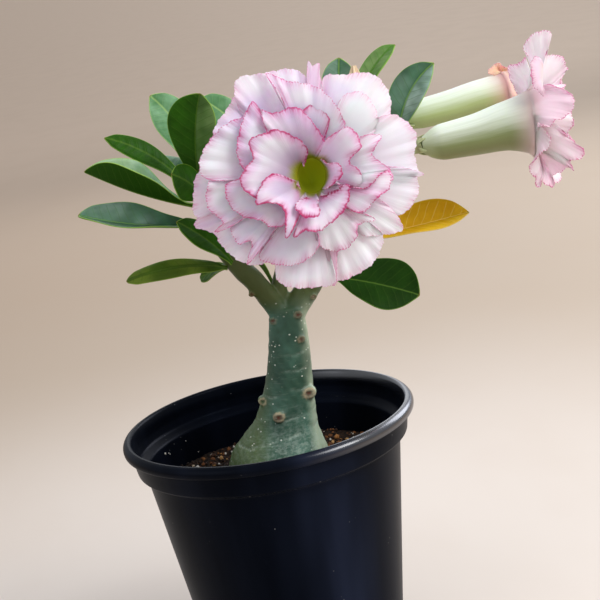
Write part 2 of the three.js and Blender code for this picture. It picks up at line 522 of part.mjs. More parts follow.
const BACK_BLOOM = {
  tube: {
    points: [[-47, -0.4, -23], [-43, 0.9, -23.6], [-38.5, 2.2, -24.2], [-27.6, 5.3, -26], [-16.8, 9, -28],
      [-8.4, 11.2, -29.6], [-5.4, 12, -30]],
    radii: [2.4, 4.4, 5.4, 5.9, 6.2, 6.5, 7.1, 7.8],
    wall: 0.9,
  },
  reach: [0.2, 0.2],
  petals: [
    { rim: [[-9.6, 17.4, -27], [-12.4, 18.4, -27], [-8.6, 22, -27], [-4.8, 21.2, -28],
      [-3.6, 18.4, -30]], turns: [28, -28] },
    { rim: [[-4.4, 18.4, -24], [-2.6, 17.8, -23], [-0.8, 15.6, -23], [-0.4, 11.4, -23],
      [-2, 7.2, -23.5], [-4.6, 6.4, -25]], turns: [25, 130] },
    { rim: [[-5.4, 7.4, -25], [-2.6, 5.2, -25], [0.6, 4.2, -28], [-0.6, 4.2, -32],
      [-4.6, 6.4, -33]], turns: [120, 205] },
    { rim: [[-4.6, 7.4, -34], [-0.6, 7.4, -37.4], [1.6, 11.4, -39.4], [-0.6, 16.8, -37.4],
      [-4.6, 17.6, -34]], turns: [230, 320] },
    { rim: [[-3.6, 15.6, -32], [0.6, 16.8, -33], [2.6, 12.4, -33], [0.6, 8.4, -32],
      [-3.6, 8.4, -31]], turns: [-50, -130] },
  ],
  stalk: [[-51.5, -11.6, -15.6], [-52, -7, -18.6], [-50.2, -2.6, -21.8], [-46.8, -0.35, -23]],
  stalkRadii: [1.7, 1.7, 1.7, 3.2],
  sepals: {
    foot: [-47.4, -0.5, -22.9], reach: [-40.6, 1.6, -24],
    length: 6.5, start: 2.9, spread: 6.4, half: 1.8, count: 5,
  },
};
const MOUTH = { inset: 0.4, step: 0.6 };

/** A side bloom's petal: a Bezier surface from an arc of the mouth's circle to its rim. */
function sidePetal({ rim, turns }, { points, radii }, [onward, outward]) {
  const [before, mouth] = points.slice(-2).map((p) => vec(...p));
  const axis = mouth.clone().sub(before).normalize();
  const top = vec(0, 1, 0).addScaledVector(axis, -axis.y).normalize();
  const front = axis.clone().cross(top);
  const radius = radii[radii.length - 1] - MOUTH.step;
  const curve = curveOf(rim);
  return petalSolid(rim, SIDE_PETAL_ROWS, (u, v) => {
    const turn = THREE.MathUtils.degToRad(THREE.MathUtils.lerp(...turns, u));
    const out = top.clone().multiplyScalar(Math.cos(turn)).addScaledVector(front, Math.sin(turn));
    const start = mouth.clone().addScaledVector(out, radius).addScaledVector(axis, -MOUTH.inset);
    const end = curve.getPointAt(u);
    const length = end.distanceTo(start);
    const lean = start.clone().addScaledVector(axis, onward * length).addScaledVector(out, outward * length);
    return new THREE.QuadraticBezierCurve3(start, lean, end).getPoint(v);
  });
}

// A spent flower that has shrunk to a twisted spindle, in the pot's frame.
const SPENT_FLOWER = {
  points: [[50.6, 10.6, 198.2], [53.4, 10, 205], [54.8, 10.2, 212], [55.6, 10.6, 219], [56, 11, 225]],
  radii: [1.3, 1.4, 2.8, 3, 2.4, 0.8],
};

/** A bloom's corolla: its petals joined to its hollow tube, in the bloom's own frame. */
const corolla = (petals, tube) => largest(joined([tubeSolid(tube), ...petals]));

/** A bloom's stalk and sepals, clear of its corolla. */
function calyx({ stalk, stalkRadii, sepals }, tube) {
  const green = joined([limb(stalk, stalkRadii, { sides: 8, steps: 5 }), ...sepalSolids(sepals)]);
  return green.subtract(limb(tube.points, tube.radii, { sides: TUBE_SIDES, steps: TUBE_STEPS, grow: GAP }));
}

// ---------------------------------------------------------------- assembly

const finish = (color, roughness) => new THREE.MeshStandardMaterial({ color, roughness, metalness: 0 });
const FINISHES = {
  plastic: finish(0x16181c, 0.42),
  soil: finish(0x3a2a20, 0.95),
  bark: finish(0x5d7a5c, 0.6),
  leaf: finish(0x2f5a22, 0.4),
  yellowLeaf: finish(0xc9a52a, 0.45),
  petal: finish(0xf1dfe8, 0.6),
  calyx: finish(0x7d9a4e, 0.55),
  spent: finish(0xc9a98a, 0.7),
};

const plant = new THREE.Group();

/** Adds a named mesh of a solid to a group. */
function place(group, name, body, material) {
  const mesh = new THREE.Mesh(geometryOf(body), material);
  mesh.name = name;
  group.add(mesh);
  return mesh;
}

/** A body moved from the pot's frame into a bloom's own frame. */
function inBloomFrame(body, group) {
  group.updateMatrix();
  return body.transform(group.matrix.clone().invert().toArray());
}

const stemClearance = stemSolid(GAP);
place(plant, 'pot', potSolid(), FINISHES.plastic);
place(plant, 'soil', largest(soilSolid().subtract(stemClearance)), FINISHES.soil);
place(plant, 'stem', largest(stemSolid(0)), FINISHES.bark);
Object.entries(LEAVES).forEach(([name, leaf]) => {
  const body = largest(leafSolid(leaf).subtract(stemClearance));
  place(plant, name, body, name === 'leaf_right_4' ? FINISHES.yellowLeaf : FINISHES.leaf);
});
place(plant, 'spent_flower', largest(limb(SPENT_FLOWER.points, SPENT_FLOWER.radii, { sides: 8, steps: 7 })
  .subtract(stemClearance)), FINISHES.spent);

const openBloom = new THREE.Group();
openBloom.position.set(...OPEN_BLOOM.centre);
openBloom.rotation.copy(BLOOM_TURN);
plant.add(openBloom);
place(openBloom, 'main_bloom', corolla(openPetals(), OPEN_TUBE), FINISHES.petal);
place(openBloom, 'main_bloom_calyx', largest(calyx(OPEN_CALYX, OPEN_TUBE)
  .subtract(inBloomFrame(stemClearance, openBloom))), FINISHES.calyx);

const sideBlooms = new THREE.Group();
sideBlooms.position.set(...FRONT_BLOOM.centre);
sideBlooms.rotation.copy(BLOOM_TURN);
plant.add(sideBlooms);
Object.entries({ front_bloom: FRONT_BLOOM, back_bloom: BACK_BLOOM }).forEach(([name, bloom]) => {
  const petals = bloom.petals.map((petal) => sidePetal(petal, bloom.tube, bloom.reach));
  place(sideBlooms, name, corolla(petals, bloom.tube), FINISHES.petal);
  place(sideBlooms, `${name}_calyx`, largest(calyx(bloom, bloom.tube)
    .subtract(inBloomFrame(stemClearance, sideBlooms))), FINISHES.calyx);
});

export default plant;
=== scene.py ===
"""Potted desert rose: the finished look of an adenium with one open double bloom in a black nursery pot.

Sizes are in millimetres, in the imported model's frame: +Z is up, the middle of the pot's flat base is the
origin and the open bloom faces -Y. They become metres where a mesh is written.
"""
from __future__ import annotations

import logging
import math
from dataclasses import dataclass
from enum import Enum
from typing import Any, Iterable, Sequence

import bpy
import numpy as np
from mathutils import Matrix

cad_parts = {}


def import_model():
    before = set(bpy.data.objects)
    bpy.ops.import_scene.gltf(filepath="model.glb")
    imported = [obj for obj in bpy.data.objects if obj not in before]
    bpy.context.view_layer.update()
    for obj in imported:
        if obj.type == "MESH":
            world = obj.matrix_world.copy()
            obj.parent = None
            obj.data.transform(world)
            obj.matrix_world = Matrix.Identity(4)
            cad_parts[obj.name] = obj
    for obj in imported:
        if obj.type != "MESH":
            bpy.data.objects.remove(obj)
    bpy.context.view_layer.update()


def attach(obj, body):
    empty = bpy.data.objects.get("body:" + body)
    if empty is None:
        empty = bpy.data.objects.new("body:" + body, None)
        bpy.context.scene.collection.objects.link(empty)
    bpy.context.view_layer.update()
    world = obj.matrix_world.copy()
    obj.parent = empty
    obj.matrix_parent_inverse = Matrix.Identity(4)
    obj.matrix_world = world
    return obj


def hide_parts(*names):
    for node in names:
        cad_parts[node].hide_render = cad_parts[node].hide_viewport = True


log = logging.getLogger("desert_rose")

MM = 0.001
TURN = 2 * math.pi
BODY = "root"
# Places on a fine curve for each of its given points, and points along a petal's root.
FINE, ROOT = 40, 12
# The side veins of a leaf: millimetres from one to the next, and how far they slant toward the tip.
VEIN_STEP, VEIN_SLANT = 3.4, 0.62
# Span and height, in millimetres, of the waves along a petal's edge and of its body's sway.
TEETH = ((4.7, 0.16), (2.3, 0.14), (1.35, 0.1))
PLEATS = ((2.4, 0.05), (1.5, 0.04))
RUFFLES = ((15.5, 0.75), (8.3, 0.6), (5.1, 0.35))
SWAY = ((23.0, 0.5),)

Grid = np.ndarray
Point = tuple[float, float, float]
Values = dict[str, Grid]


# -------- curves and values


def unit(vectors: Grid) -> Grid:
    """Vectors divided by their own lengths."""
    return vectors / np.maximum(np.linalg.norm(vectors, axis=-1, keepdims=True), 1e-12)


def rise(values: Grid, low: float, high: float) -> Grid:
    """A smooth step: 0 up to low, 1 from high on, and 3x^2 - 2x^3 between them."""
    x = np.clip((values - low) / (high - low), 0, 1)
    return x * x * (3 - 2 * x)


def smooth_path(points: Sequence[Sequence[float]] | Grid, t: Grid) -> Grid:
    """A smooth curve through points.

    The curve is a centripetal Catmull-Rom spline: each stretch is a cubic whose end slopes come from the
    neighbouring points, spaced by the square roots of their distances.

    Args:
        points: The points that the curve runs through.
        t: Places along it, from 0 at the first point to 1 at the last, even from point to point.

    Returns:
        One point for each place.
    """
    given = np.asarray(points, float)
    chain = np.vstack([2 * given[0] - given[1], given, 2 * given[-1] - given[-2]])
    place = np.clip(t, 0, 1) * (len(given) - 1)
    low = np.minimum(place.astype(int), len(given) - 2)
    w = (place - low)[..., None]
    p0, p1, p2, p3 = (chain[low + k] for k in range(4))
    d0, d1, d2 = (np.maximum(np.linalg.norm(b - a, axis=-1, keepdims=True), 1e-9) ** 0.5
                  for a, b in ((p0, p1), (p1, p2), (p2, p3)))
    slope1 = d1 * ((p1 - p0) / d0 - (p2 - p0) / (d0 + d1) + (p2 - p1) / d1)
    slope2 = d1 * ((p2 - p1) / d1 - (p3 - p1) / (d1 + d2) + (p3 - p2) / d2)
    return ((2 * w**3 - 3 * w**2 + 1) * p1 + (w**3 - 2 * w**2 + w) * slope1
            + (3 * w**2 - 2 * w**3) * p2 + (w**3 - w**2) * slope2)


def smooth_values(values: Sequence[float], t: Grid) -> Grid:
    """A smooth curve through values, read at t from 0 to 1. They stand 10 apart, for a nearly even pace."""
    spread = 10.0 * np.arange(len(values))
    return smooth_path(np.column_stack([spread, values]), t)[..., 1]


def even_path(points: Sequence[Sequence[float]] | Grid, count: int) -> tuple[Grid, float]:
    """A smooth curve through points, cut at equal lengths.

    Args:
        points: The points that the curve runs through.
        count: How many places to return.

    Returns:
        The places, and the curve's whole length.
    """
    fine = smooth_path(points, np.linspace(0, 1, FINE * len(points)))
    reach = np.concatenate([[0], np.cumsum(np.linalg.norm(np.diff(fine, axis=0), axis=1))])
    wanted = np.linspace(0, reach[-1], count)
    places = [np.interp(wanted, reach, fine[:, k]) for k in range(fine.shape[1])]
    return np.stack(places, -1), float(reach[-1])


def ripples(length: Grid, waves: Sequence[tuple[float, float]], random: np.random.Generator) -> Grid:
    """A sum of sines along a length: one for each wave's span and height, with a random phase."""
    phases = random.uniform(0, TURN, len(waves))
    return sum(high * np.sin(TURN * length / span + phase) for (span, high), phase in zip(waves, phases))


# -------- meshes


class Draft:
    """Points, faces, map coordinates and named values, gathered before one mesh is written."""

    def __init__(self) -> None:
        """Starts with nothing in it."""
        self.points: list[Grid] = []
        self.faces: list[Grid] = []
        self.maps: list[Grid] = []
        self.values: list[Values] = []
        self.count = 0

    def add(self, points: Grid, faces: Iterable[tuple[Grid, Grid]], values: Values | None = None) -> None:
        """Adds a closed body, or many at once.

        Args:
            points: The points, one row each, in millimetres.
            faces: Blocks of faces: point numbers, one row a face, and their map coordinates.
            values: Named numbers, one for each point.
        """
        for numbers, places in faces:
            self.faces.append(numbers + self.count)
            self.maps.append(places)
        self.points.append(points)
        self.values.append({key: np.ravel(value) for key, value in (values or {}).items()})
        self.count += len(points)

    def add_rings(self, rings: Grid, ends: tuple[Grid, Grid], values: Values | None = None) -> None:
        """Adds a body of rings from one end to the other, each end closed by a fan of triangles.

        Args:
            rings: Points by ring and by place round it, going round so that right-hand fingers along the
                ring leave the thumb pointing on to the next ring.
            ends: The middle point of the first end and of the last.
            values: Named numbers by ring and by place; each end takes the mean of the ring next to it.
        """
        rows, sides = rings.shape[:2]
        j, i = np.meshgrid(np.arange(rows - 1), np.arange(sides), indexing="ij")
        k = (i + 1) % sides
        quads = np.stack([j * sides + i, j * sides + k, (j + 1) * sides + k, (j + 1) * sides + i], -1)
        u0, u1, v0, v1 = i / sides, (i + 1) / sides, j / (rows - 1), (j + 1) / (rows - 1)
        places = np.stack([np.stack(pair, -1) for pair in ((u0, v0), (u1, v0), (u1, v1), (u0, v1))], -2)
        around = np.arange(sides)
        after = (around + 1) % sides
        last = (rows - 1) * sides
        caps = [np.stack([np.full(sides, rows * sides), after, around], -1),
                np.stack([np.full(sides, rows * sides + 1), last + around, last + after], -1)]
        blocks = [(quads.reshape(-1, 4), places.reshape(-1, 4, 2))]
        for numbers, v in zip(caps, (0.0, 1.0)):
            place = np.stack([(around + 0.5) / sides, np.full(sides, v)], -1)
            blocks.append((numbers, np.repeat(place[:, None], 3, 1)))
        extra = {key: np.concatenate([value.ravel(), [value[0].mean(), value[-1].mean()]])
                 for key, value in (values or {}).items()}
        self.add(np.vstack([rings.reshape(-1, 3), *[np.atleast_2d(end) for end in ends]]), blocks, extra)

    def add_sheet(self, middle: Grid, above: Grid, below: Grid, values: Values | None = None) -> None:
        """Adds a thin closed sheet with both its faces and its border.

        Each point of the middle surface is moved along the surface's normal, the cross product of its
        two directions of change, up by above and down by below. The border joins the two faces.

        Args:
            middle: Points by row and column.
            above: Distance of the upper face from the middle surface, by row and column.
            below: The same for the lower face.
            values: Named numbers by row and column. "upper" is added: 1 on the upper face, 0 on the lower.
        """
        rows, columns = middle.shape[:2]
        normal = unit(np.cross(np.gradient(middle, axis=1), np.gradient(middle, axis=0)))
        top, bottom = middle + normal * above[..., None], middle - normal * below[..., None]
        size = rows * columns
        j, i = np.meshgrid(np.arange(rows - 1), np.arange(columns - 1), indexing="ij")
        a = j * columns + i
        upper = np.stack([a, a + 1, a + columns + 1, a + columns], -1).reshape(-1, 4)
        u, v = np.meshgrid(np.linspace(0, 1, columns), np.linspace(0, 1, rows))
        flat = np.stack([u, v], -1).reshape(-1, 2)
        edge = np.concatenate([
            np.arange(columns - 1), np.arange(rows - 1) * columns + columns - 1,
            (rows - 1) * columns + np.arange(columns - 1, 0, -1), np.arange(rows - 1, 0, -1) * columns])
        step = np.roll(edge, -1)
        border = np.stack([step, edge, edge + size, step + size], -1)
        lower = upper[:, ::-1]
        blocks = [(upper, flat[upper]), (lower + size, flat[lower]), (border, flat[border % size])]
        both = {key: np.tile(value.ravel(), 2) for key, value in (values or {}).items()}
        both["upper"] = np.repeat([1.0, 0.0], size)
        self.add(np.vstack([top.reshape(-1, 3), bottom.reshape(-1, 3)]), blocks, both)

    def write(self, name: str, crease: float = 50.0) -> bpy.types.Object:
        """Writes everything added as one object at the origin, in metres.

        Args:
            name: The piece's name.
            crease: Angle between faces, in degrees, past which an edge is drawn sharp.

        Returns:
            The new object, linked to the scene.
        """
        mesh = bpy.data.meshes.new(name)
        points = np.vstack(self.points) * MM
        numbers = np.concatenate([block.ravel() for block in self.faces])
        sizes = np.concatenate([np.full(len(block), block.shape[1]) for block in self.faces])
        mesh.vertices.add(len(points))
        mesh.vertices.foreach_set("co", points.ravel())
        mesh.loops.add(len(numbers))
        mesh.loops.foreach_set("vertex_index", numbers)
        mesh.polygons.add(len(sizes))
        mesh.polygons.foreach_set("loop_start", np.concatenate([[0], np.cumsum(sizes)[:-1]]))
        mesh.update(calc_edges=True)
        layer = mesh.uv_layers.new(name="map")
        layer.uv.foreach_set("vector", np.concatenate([block.reshape(-1, 2) for block in self.maps]).ravel())
        for key in self.values[0]:
            numbers = np.concatenate([values[key] for values in self.values])
            mesh.attributes.new(key, "FLOAT", "POINT").data.foreach_set("value", numbers)
        mesh.polygons.foreach_set("use_smooth", np.ones(len(sizes), bool))
        mesh.set_sharp_from_angle(angle=math.radians(crease))
        piece = bpy.data.objects.new(name, mesh)
        bpy.context.collection.objects.link(piece)
        return piece


def ring_frames(path: Grid, reference: Point) -> tuple[Grid, Grid]:
    """Two directions square to a path at each of its points.

    The first is the reference crossed with the path's direction, the second the path's direction crossed
    with the first.

    Args:
        path: Points along the path.
        reference: A direction that the path never runs along.

    Returns:
        The first and the second direction at each point.
    """
    along = unit(np.gradient(path, axis=0))
    across = unit(np.cross(np.asarray(reference, float), along))
    return across, np.cross(along, across)


def limb_rings(path: Grid, radii: Grid, sides: int, reference: Point) -> Grid:
    """Rings of a round limb: path + radius * (cos of the angle * across + sin of the angle * up).

    Args:
        path: Points along the middle line.
        radii: One radius for each point, or one for each point and side.
        sides: Points round each ring.
        reference: A direction that the path never runs along.

    Returns:
        Points by ring and side.
    """
    across, up = ring_frames(path, reference)
    angle = TURN * np.arange(sides) / sides
    size = np.broadcast_to(radii if radii.ndim == 2 else radii[:, None], (len(path), sides))[..., None]
    out = np.cos(angle)[:, None] * across[:, None] + np.sin(angle)[:, None] * up[:, None]
    return path[:, None] + size * out


def rounded(corners: Sequence[tuple[float, float, float]], steps: int = 5) -> Grid:
    """A profile with rounded corners.

    Each corner with a radius becomes a quadratic curve: (1-t)^2 * start + 2t(1-t) * corner + t^2 * end,
    where start and end lie that radius before and after it.

    Args:
        corners: Distance from the axis, height and rounding radius of each corner.
        steps: Stretches of each rounding.

    Returns:
        Points of the profile, distance from the axis and height.
    """
    places = np.array([corner[:2] for corner in corners], float)
    profile = [places[:1]]
    t = np.linspace(0, 1, steps + 1)[:, None]
    for before, corner, after, (_, _, radius) in zip(places, places[1:], places[2:], corners[1:]):
        start = corner + radius * unit(before - corner)
        end = corner + radius * unit(after - corner)
        bend = (1 - t) ** 2 * start + 2 * t * (1 - t) * corner + t**2 * end
        profile.append(bend if radius else corner[None])
    return np.vstack([*profile, places[-1:]])


def turned(profile: Grid, sides: int) -> Grid:
    """Rings of a profile turned about +Z: (r cos a, r sin a, z).

    Args:
        profile: Distance from the axis and height of each point.
        sides: Points round each ring.

    Returns:
        Points by ring and side.
    """
    angle = TURN * np.arange(sides) / sides
    r, z = profile[:, :1], profile[:, 1:]
    return np.stack([r * np.cos(angle), r * np.sin(angle), z + 0 * angle], -1)


def evaluated(piece: bpy.types.Object, modifiers: Sequence[tuple[str, dict[str, Any]]]) -> None:
    """Puts modifiers on a piece and applies them, in order.

    Args:
        piece: The piece to change.
        modifiers: Type and settings of each modifier.
    """
    for kind, settings in modifiers:
        modifier = piece.modifiers.new(kind.title(), kind)
        for key, setting in settings.items():
            setattr(modifier, key, setting)
    bpy.context.view_layer.update()
    graph = bpy.context.evaluated_depsgraph_get()
    mesh = bpy.data.meshes.new_from_object(piece.evaluated_get(graph))
    piece.modifiers.clear()
    piece.data = mesh
    mesh.name = piece.name


def points_of(piece: bpy.types.Object) -> Grid:
    """Reads a mesh.

    Args:
        piece: The piece that has it.

    Returns:
        Its points in millimetres.
    """
    values = np.empty(3 * len(piece.data.vertices))
    piece.data.vertices.foreach_get("co", values)
    return values.reshape(-1, 3) / MM


def set_value(piece: bpy.types.Object, key: str, values: Grid) -> None:
    """Writes a named number for each of a piece's points."""
    piece.data.attributes.new(key, "FLOAT", "POINT").data.foreach_set("value", np.asarray(values, np.float32))


# -------- shader expressions


def colour(code: str) -> tuple[float, float, float, float]:
    """A shader colour from a six-digit display code such as F4E9F2."""
    parts = [int(code[k:k + 2], 16) / 255 for k in (0, 2, 4)]
    return (*[p / 12.92 if p <= 0.04045 else ((p + 0.055) / 1.055) ** 2.4 for p in parts], 1.0)


class Field:
    """A number, colour or vector that varies over a surface. Python's operators add Math nodes."""

    def __init__(self, painter: Painter, socket: bpy.types.NodeSocket) -> None:
        """Wraps an output socket."""
        self.painter = painter
        self.socket = socket

    def __add__(self, other: Field | float) -> Field:
        """The sum."""
        return self.painter.maths("ADD", self, other)

    __radd__ = __add__

    def __sub__(self, other: Field | float) -> Field:
        """The difference."""
        return self.painter.maths("SUBTRACT", self, other)

    def __rsub__(self, other: Field | float) -> Field:
        """The difference, the other way round."""
        return self.painter.maths("SUBTRACT", other, self)

    def __mul__(self, other: Field | float) -> Field:
        """The product."""
        return self.painter.maths("MULTIPLY", self, other)

    __rmul__ = __mul__

    def __truediv__(self, other: Field | float) -> Field:
        """The quotient."""
        return self.painter.maths("DIVIDE", self, other)

    def __pow__(self, power: float) -> Field:
        """The power."""
        return self.painter.maths("POWER", self, power)

    def __abs__(self) -> Field:
        """The size without its sign."""
        return self.painter.maths("ABSOLUTE", self)

    def rise(self, low: Field | float, high: Field | float) -> Field:
        """A smooth step from 0 at low to 1 at high; low may be the larger."""
        return self.painter.field("ShaderNodeMapRange", {"interpolation_type": "SMOOTHSTEP"},
                                  {"Value": self, "From Min": low, "From Max": high}, "Result")


class Painter:
    """Builds one material's nodes."""

    def __init__(self, name: str) -> None:
        """Starts an empty material.

        Args:
            name: The material's name.
        """
        self.material = bpy.data.materials.new(name)
        self.material.use_nodes = True
        self.tree = self.material.node_tree
        self.tree.nodes.clear()

    def node(self, kind: str, settings: dict[str, Any], inputs: dict[str | int, Any]) -> bpy.types.Node:
        """Adds a node.

        Args:
            kind: The node's type.
            settings: Its settings, which are set first. "stops" gives a ramp's places and colours.
            inputs: What its sockets get: a Field is linked, anything else is a set value.

        Returns:
            The node.
        """
        made = self.tree.nodes.new(kind)
        for key, setting in settings.items():
            if key == "stops":
                for element, (place, code) in zip(made.color_ramp.elements, setting[:2]):
                    element.position, element.color = place, colour(code)
                for place, code in setting[2:]:
                    made.color_ramp.elements.new(place).color = colour(code)
            else:
                setattr(made, key, setting)
        for key, value in inputs.items():
            if isinstance(value, Field):
                self.tree.links.new(value.socket, made.inputs[key])
            else:
                made.inputs[key].default_value = value
        return made

    def field(self, kind: str, settings: dict[str, Any], inputs: dict[str | int, Any],
              output: int | str = 0) -> Field:
        """Adds a node as node does, and gives one of its outputs."""
        return Field(self, self.node(kind, settings, inputs).outputs[output])

    def maths(self, operation: str, *values: Field | float) -> Field:
        """One Math node on values."""
        return self.field("ShaderNodeMath", {"operation": operation}, dict(enumerate(values)))

    def value(self, name: str) -> Field:
        """The piece's own named number."""
        return self.field("ShaderNodeAttribute", {"attribute_name": name}, {}, "Fac")

    def place(self) -> Field:
        """The point on the object, in metres."""
        return self.field("ShaderNodeTexCoord", {}, {}, "Object")

    def axis(self, letter: str) -> Field:
        """One coordinate of the point on the object, in millimetres."""
        return self.field("ShaderNodeSeparateXYZ", {}, {0: self.place()}, letter) / MM

    def vector(self, x: Field | float, y: Field | float, z: Field | float = 0.0) -> Field:
        """A vector of three numbers."""
        return self.field("ShaderNodeCombineXYZ", {}, {0: x, 1: y, 2: z})

    def grain(self, place: Field | Point) -> Field:
        """Settles where a pattern is read.

        Args:
            place: A Field, or the pattern's sizes in millimetres along X, Y and Z.

        Returns:
            The Field as it is, or the point on the object divided by the sizes.
        """
        if isinstance(place, Field):
            return place
        scale = tuple(1 / (MM * size) for size in place)
        return self.field("ShaderNodeMapping", {}, {"Vector": self.place(), "Scale": scale})

    def noise(self, place: Field | Point, detail: float = 3.0, roughness: float = 0.5) -> Field:
        """Cloudy noise from 0 to 1 with lumps about one unit of place, or of the sizes given, across."""
        return self.field("ShaderNodeTexNoise", {}, {"Vector": self.grain(place), "Scale": 1.0,
                                                     "Detail": detail, "Roughness": roughness}, "Fac")

    def cells(self, place: Field | Point) -> Field:
        """Distance to the nearest of scattered points, about one for each unit of place."""
        return self.field("ShaderNodeTexVoronoi", {}, {"Vector": self.grain(place), "Scale": 1.0}, "Distance")

    def mix(self, factor: Field | float, first: Any, second: Any) -> Field:
        """A colour between two, each a display code or a Field. Mix takes colours at sockets 6 and 7."""
        start, end = (colour(side) if isinstance(side, str) else side for side in (first, second))
        return self.field("ShaderNodeMix", {"data_type": "RGBA"}, {0: factor, 6: start, 7: end}, 2)

    def layers(self, base: Any, *coats: tuple[Field | float, Any]) -> Field:
        """Lays coats over a colour.

        Args:
            base: The colour.
            coats: A factor and a colour for each coat, laid over all before it.

        Returns:
            The colour of the whole.
        """
        for factor, coat in coats:
            base = self.mix(factor, base, coat)
        return base

    def bump(self, height: Field, depth: float, strength: float = 1.0) -> Field:
        """A normal from a height field from 0 to 1 that stands for depth millimetres."""
        return self.field("ShaderNodeBump", {}, {"Height": height, "Distance": depth * MM,
                                                 "Strength": strength}, "Normal")

    def surface(self, shade: Field, rough: Field, normal: Field | None,
                others: dict[str, Any]) -> bpy.types.Material:
        """Ends the material with a Principled shader.

        Args:
            shade: Its colour.
            rough: Its roughness.
            normal: Its bumped normal, if it has one.
            others: What its other sockets get.

        Returns:
            The material.
        """
        inputs = {"Base Color": shade, "Roughness": rough, **others}
        if normal is not None:
            inputs["Normal"] = normal
        shader = self.field("ShaderNodeBsdfPrincipled", {}, inputs)
        self.node("ShaderNodeOutputMaterial", {}, {"Surface": shader})
        return self.material


# -------- finishes


@dataclass(frozen=True)
class MouldedPlastic:
    """Black blow-moulded plastic with a faint bluish cast, fine grain, scuffs, dust, a glossy lip, and a
    painted sheen down its front right.
    """

    base: str = "020409"
    worn: str = "0C101A"
    painted_sheen: str = "1F2536"
    dust: str = "8F8E8C"
    sheen: str = "A8B6E0"
    lip: tuple[float, float] = (95.2, 97.0)

    def material(self) -> bpy.types.Material:
        """Builds the finish.

        Returns:
            The material.
        """
        p = Painter("pot_plastic")
        x, y = p.axis("X"), p.axis("Y")
        cloud = p.noise((30, 30, 45), 4)
        scuffs = p.noise((1.2, 1.2, 14)).rise(0.62, 0.8)
        dust = p.cells((2.6, 2.6, 2.6)).rise(0.12, 0.05) * p.noise((9, 9, 9), 2).rise(0.6, 0.7)
        # Painted sheen: a bluish-grey band down the pot's front right stands in for a light's reflection, and
        # vertical streaks lay it faintly all round.
        painted_sheen_band = x.rise(0, 16) * x.rise(36, 20) * y.rise(0, -20)
        streaks = p.noise((14, 14, 240), 2).rise(0.35, 0.75)
        shade = p.layers(
            self.base,
            (0.35 * cloud + 0.25 * scuffs, self.worn),
            (0.42 * painted_sheen_band + 0.3 * painted_sheen_band * streaks + 0.15 * streaks, self.painted_sheen),
            (0.6 * dust, self.dust))
        grain = p.noise((0.5, 0.5, 0.5), 2)
        lip = p.axis("Z").rise(*self.lip)
        sheen = colour(self.sheen)
        return p.surface(shade, 0.3 + 0.12 * cloud + 0.3 * dust, p.bump(grain + 2 * scuffs, 0.015, 0.5), {
            "Coat Weight": lip * (0.02 + 0.98 * x.rise(6, 42)), "Coat Roughness": 0.24, "Coat IOR": 2.0,
            "Coat Tint": sheen, "Specular IOR Level": 0.045, "Specular Tint": sheen})


@dataclass(frozen=True)
class PottingMix:
    """Dark damp compost with brown fibres."""

    damp: str = "120C08"
    dry: str = "3A2618"
    fibre: str = "6B4425"

    def material(self) -> bpy.types.Material:
        """Builds the finish.

        Returns:
            The material.
        """
        p = Painter("soil_mix")
        crumbs = p.noise((1.6, 1.6, 1.6), 5, 0.65)
        fibres = p.noise((0.6, 5, 2)).rise(0.6, 0.72)
        shade = p.layers(self.damp, (crumbs.rise(0.35, 0.75), self.dry), (0.6 * fibres, self.fibre))
        return p.surface(shade, 0.8 + 0.18 * crumbs, p.bump(crumbs, 0.8), {"Specular IOR Level": 0.3})


@dataclass(frozen=True)
class Grit:
    """Loose grains: bark crumbs, burnt clay and white perlite, told apart by each grain's own number."""

    stops: tuple[tuple[float, str], ...] = (
        (0.0, "1E120B"), (0.4, "3B2112"), (0.6, "84502A"), (0.78, "B37840"), (0.86, "CFA066"),
        (0.93, "E9E2D6"))
    soiled: str = "20140C"

    def material(self) -> bpy.types.Material:
        """Builds the finish.

        Returns:
            The material.
        """
        p = Painter("soil_grit")
        tone = p.field("ShaderNodeValToRGB", {"stops": self.stops}, {"Fac": p.value("tone")}, "Color")
        grain = p.noise((0.35, 0.35, 0.35))
        shade = p.mix(0.35 * grain, tone, self.soiled)
        return p.surface(shade, 0.6 + 0.35 * grain, p.bump(grain, 0.15), {"Specular IOR Level": 0.35})


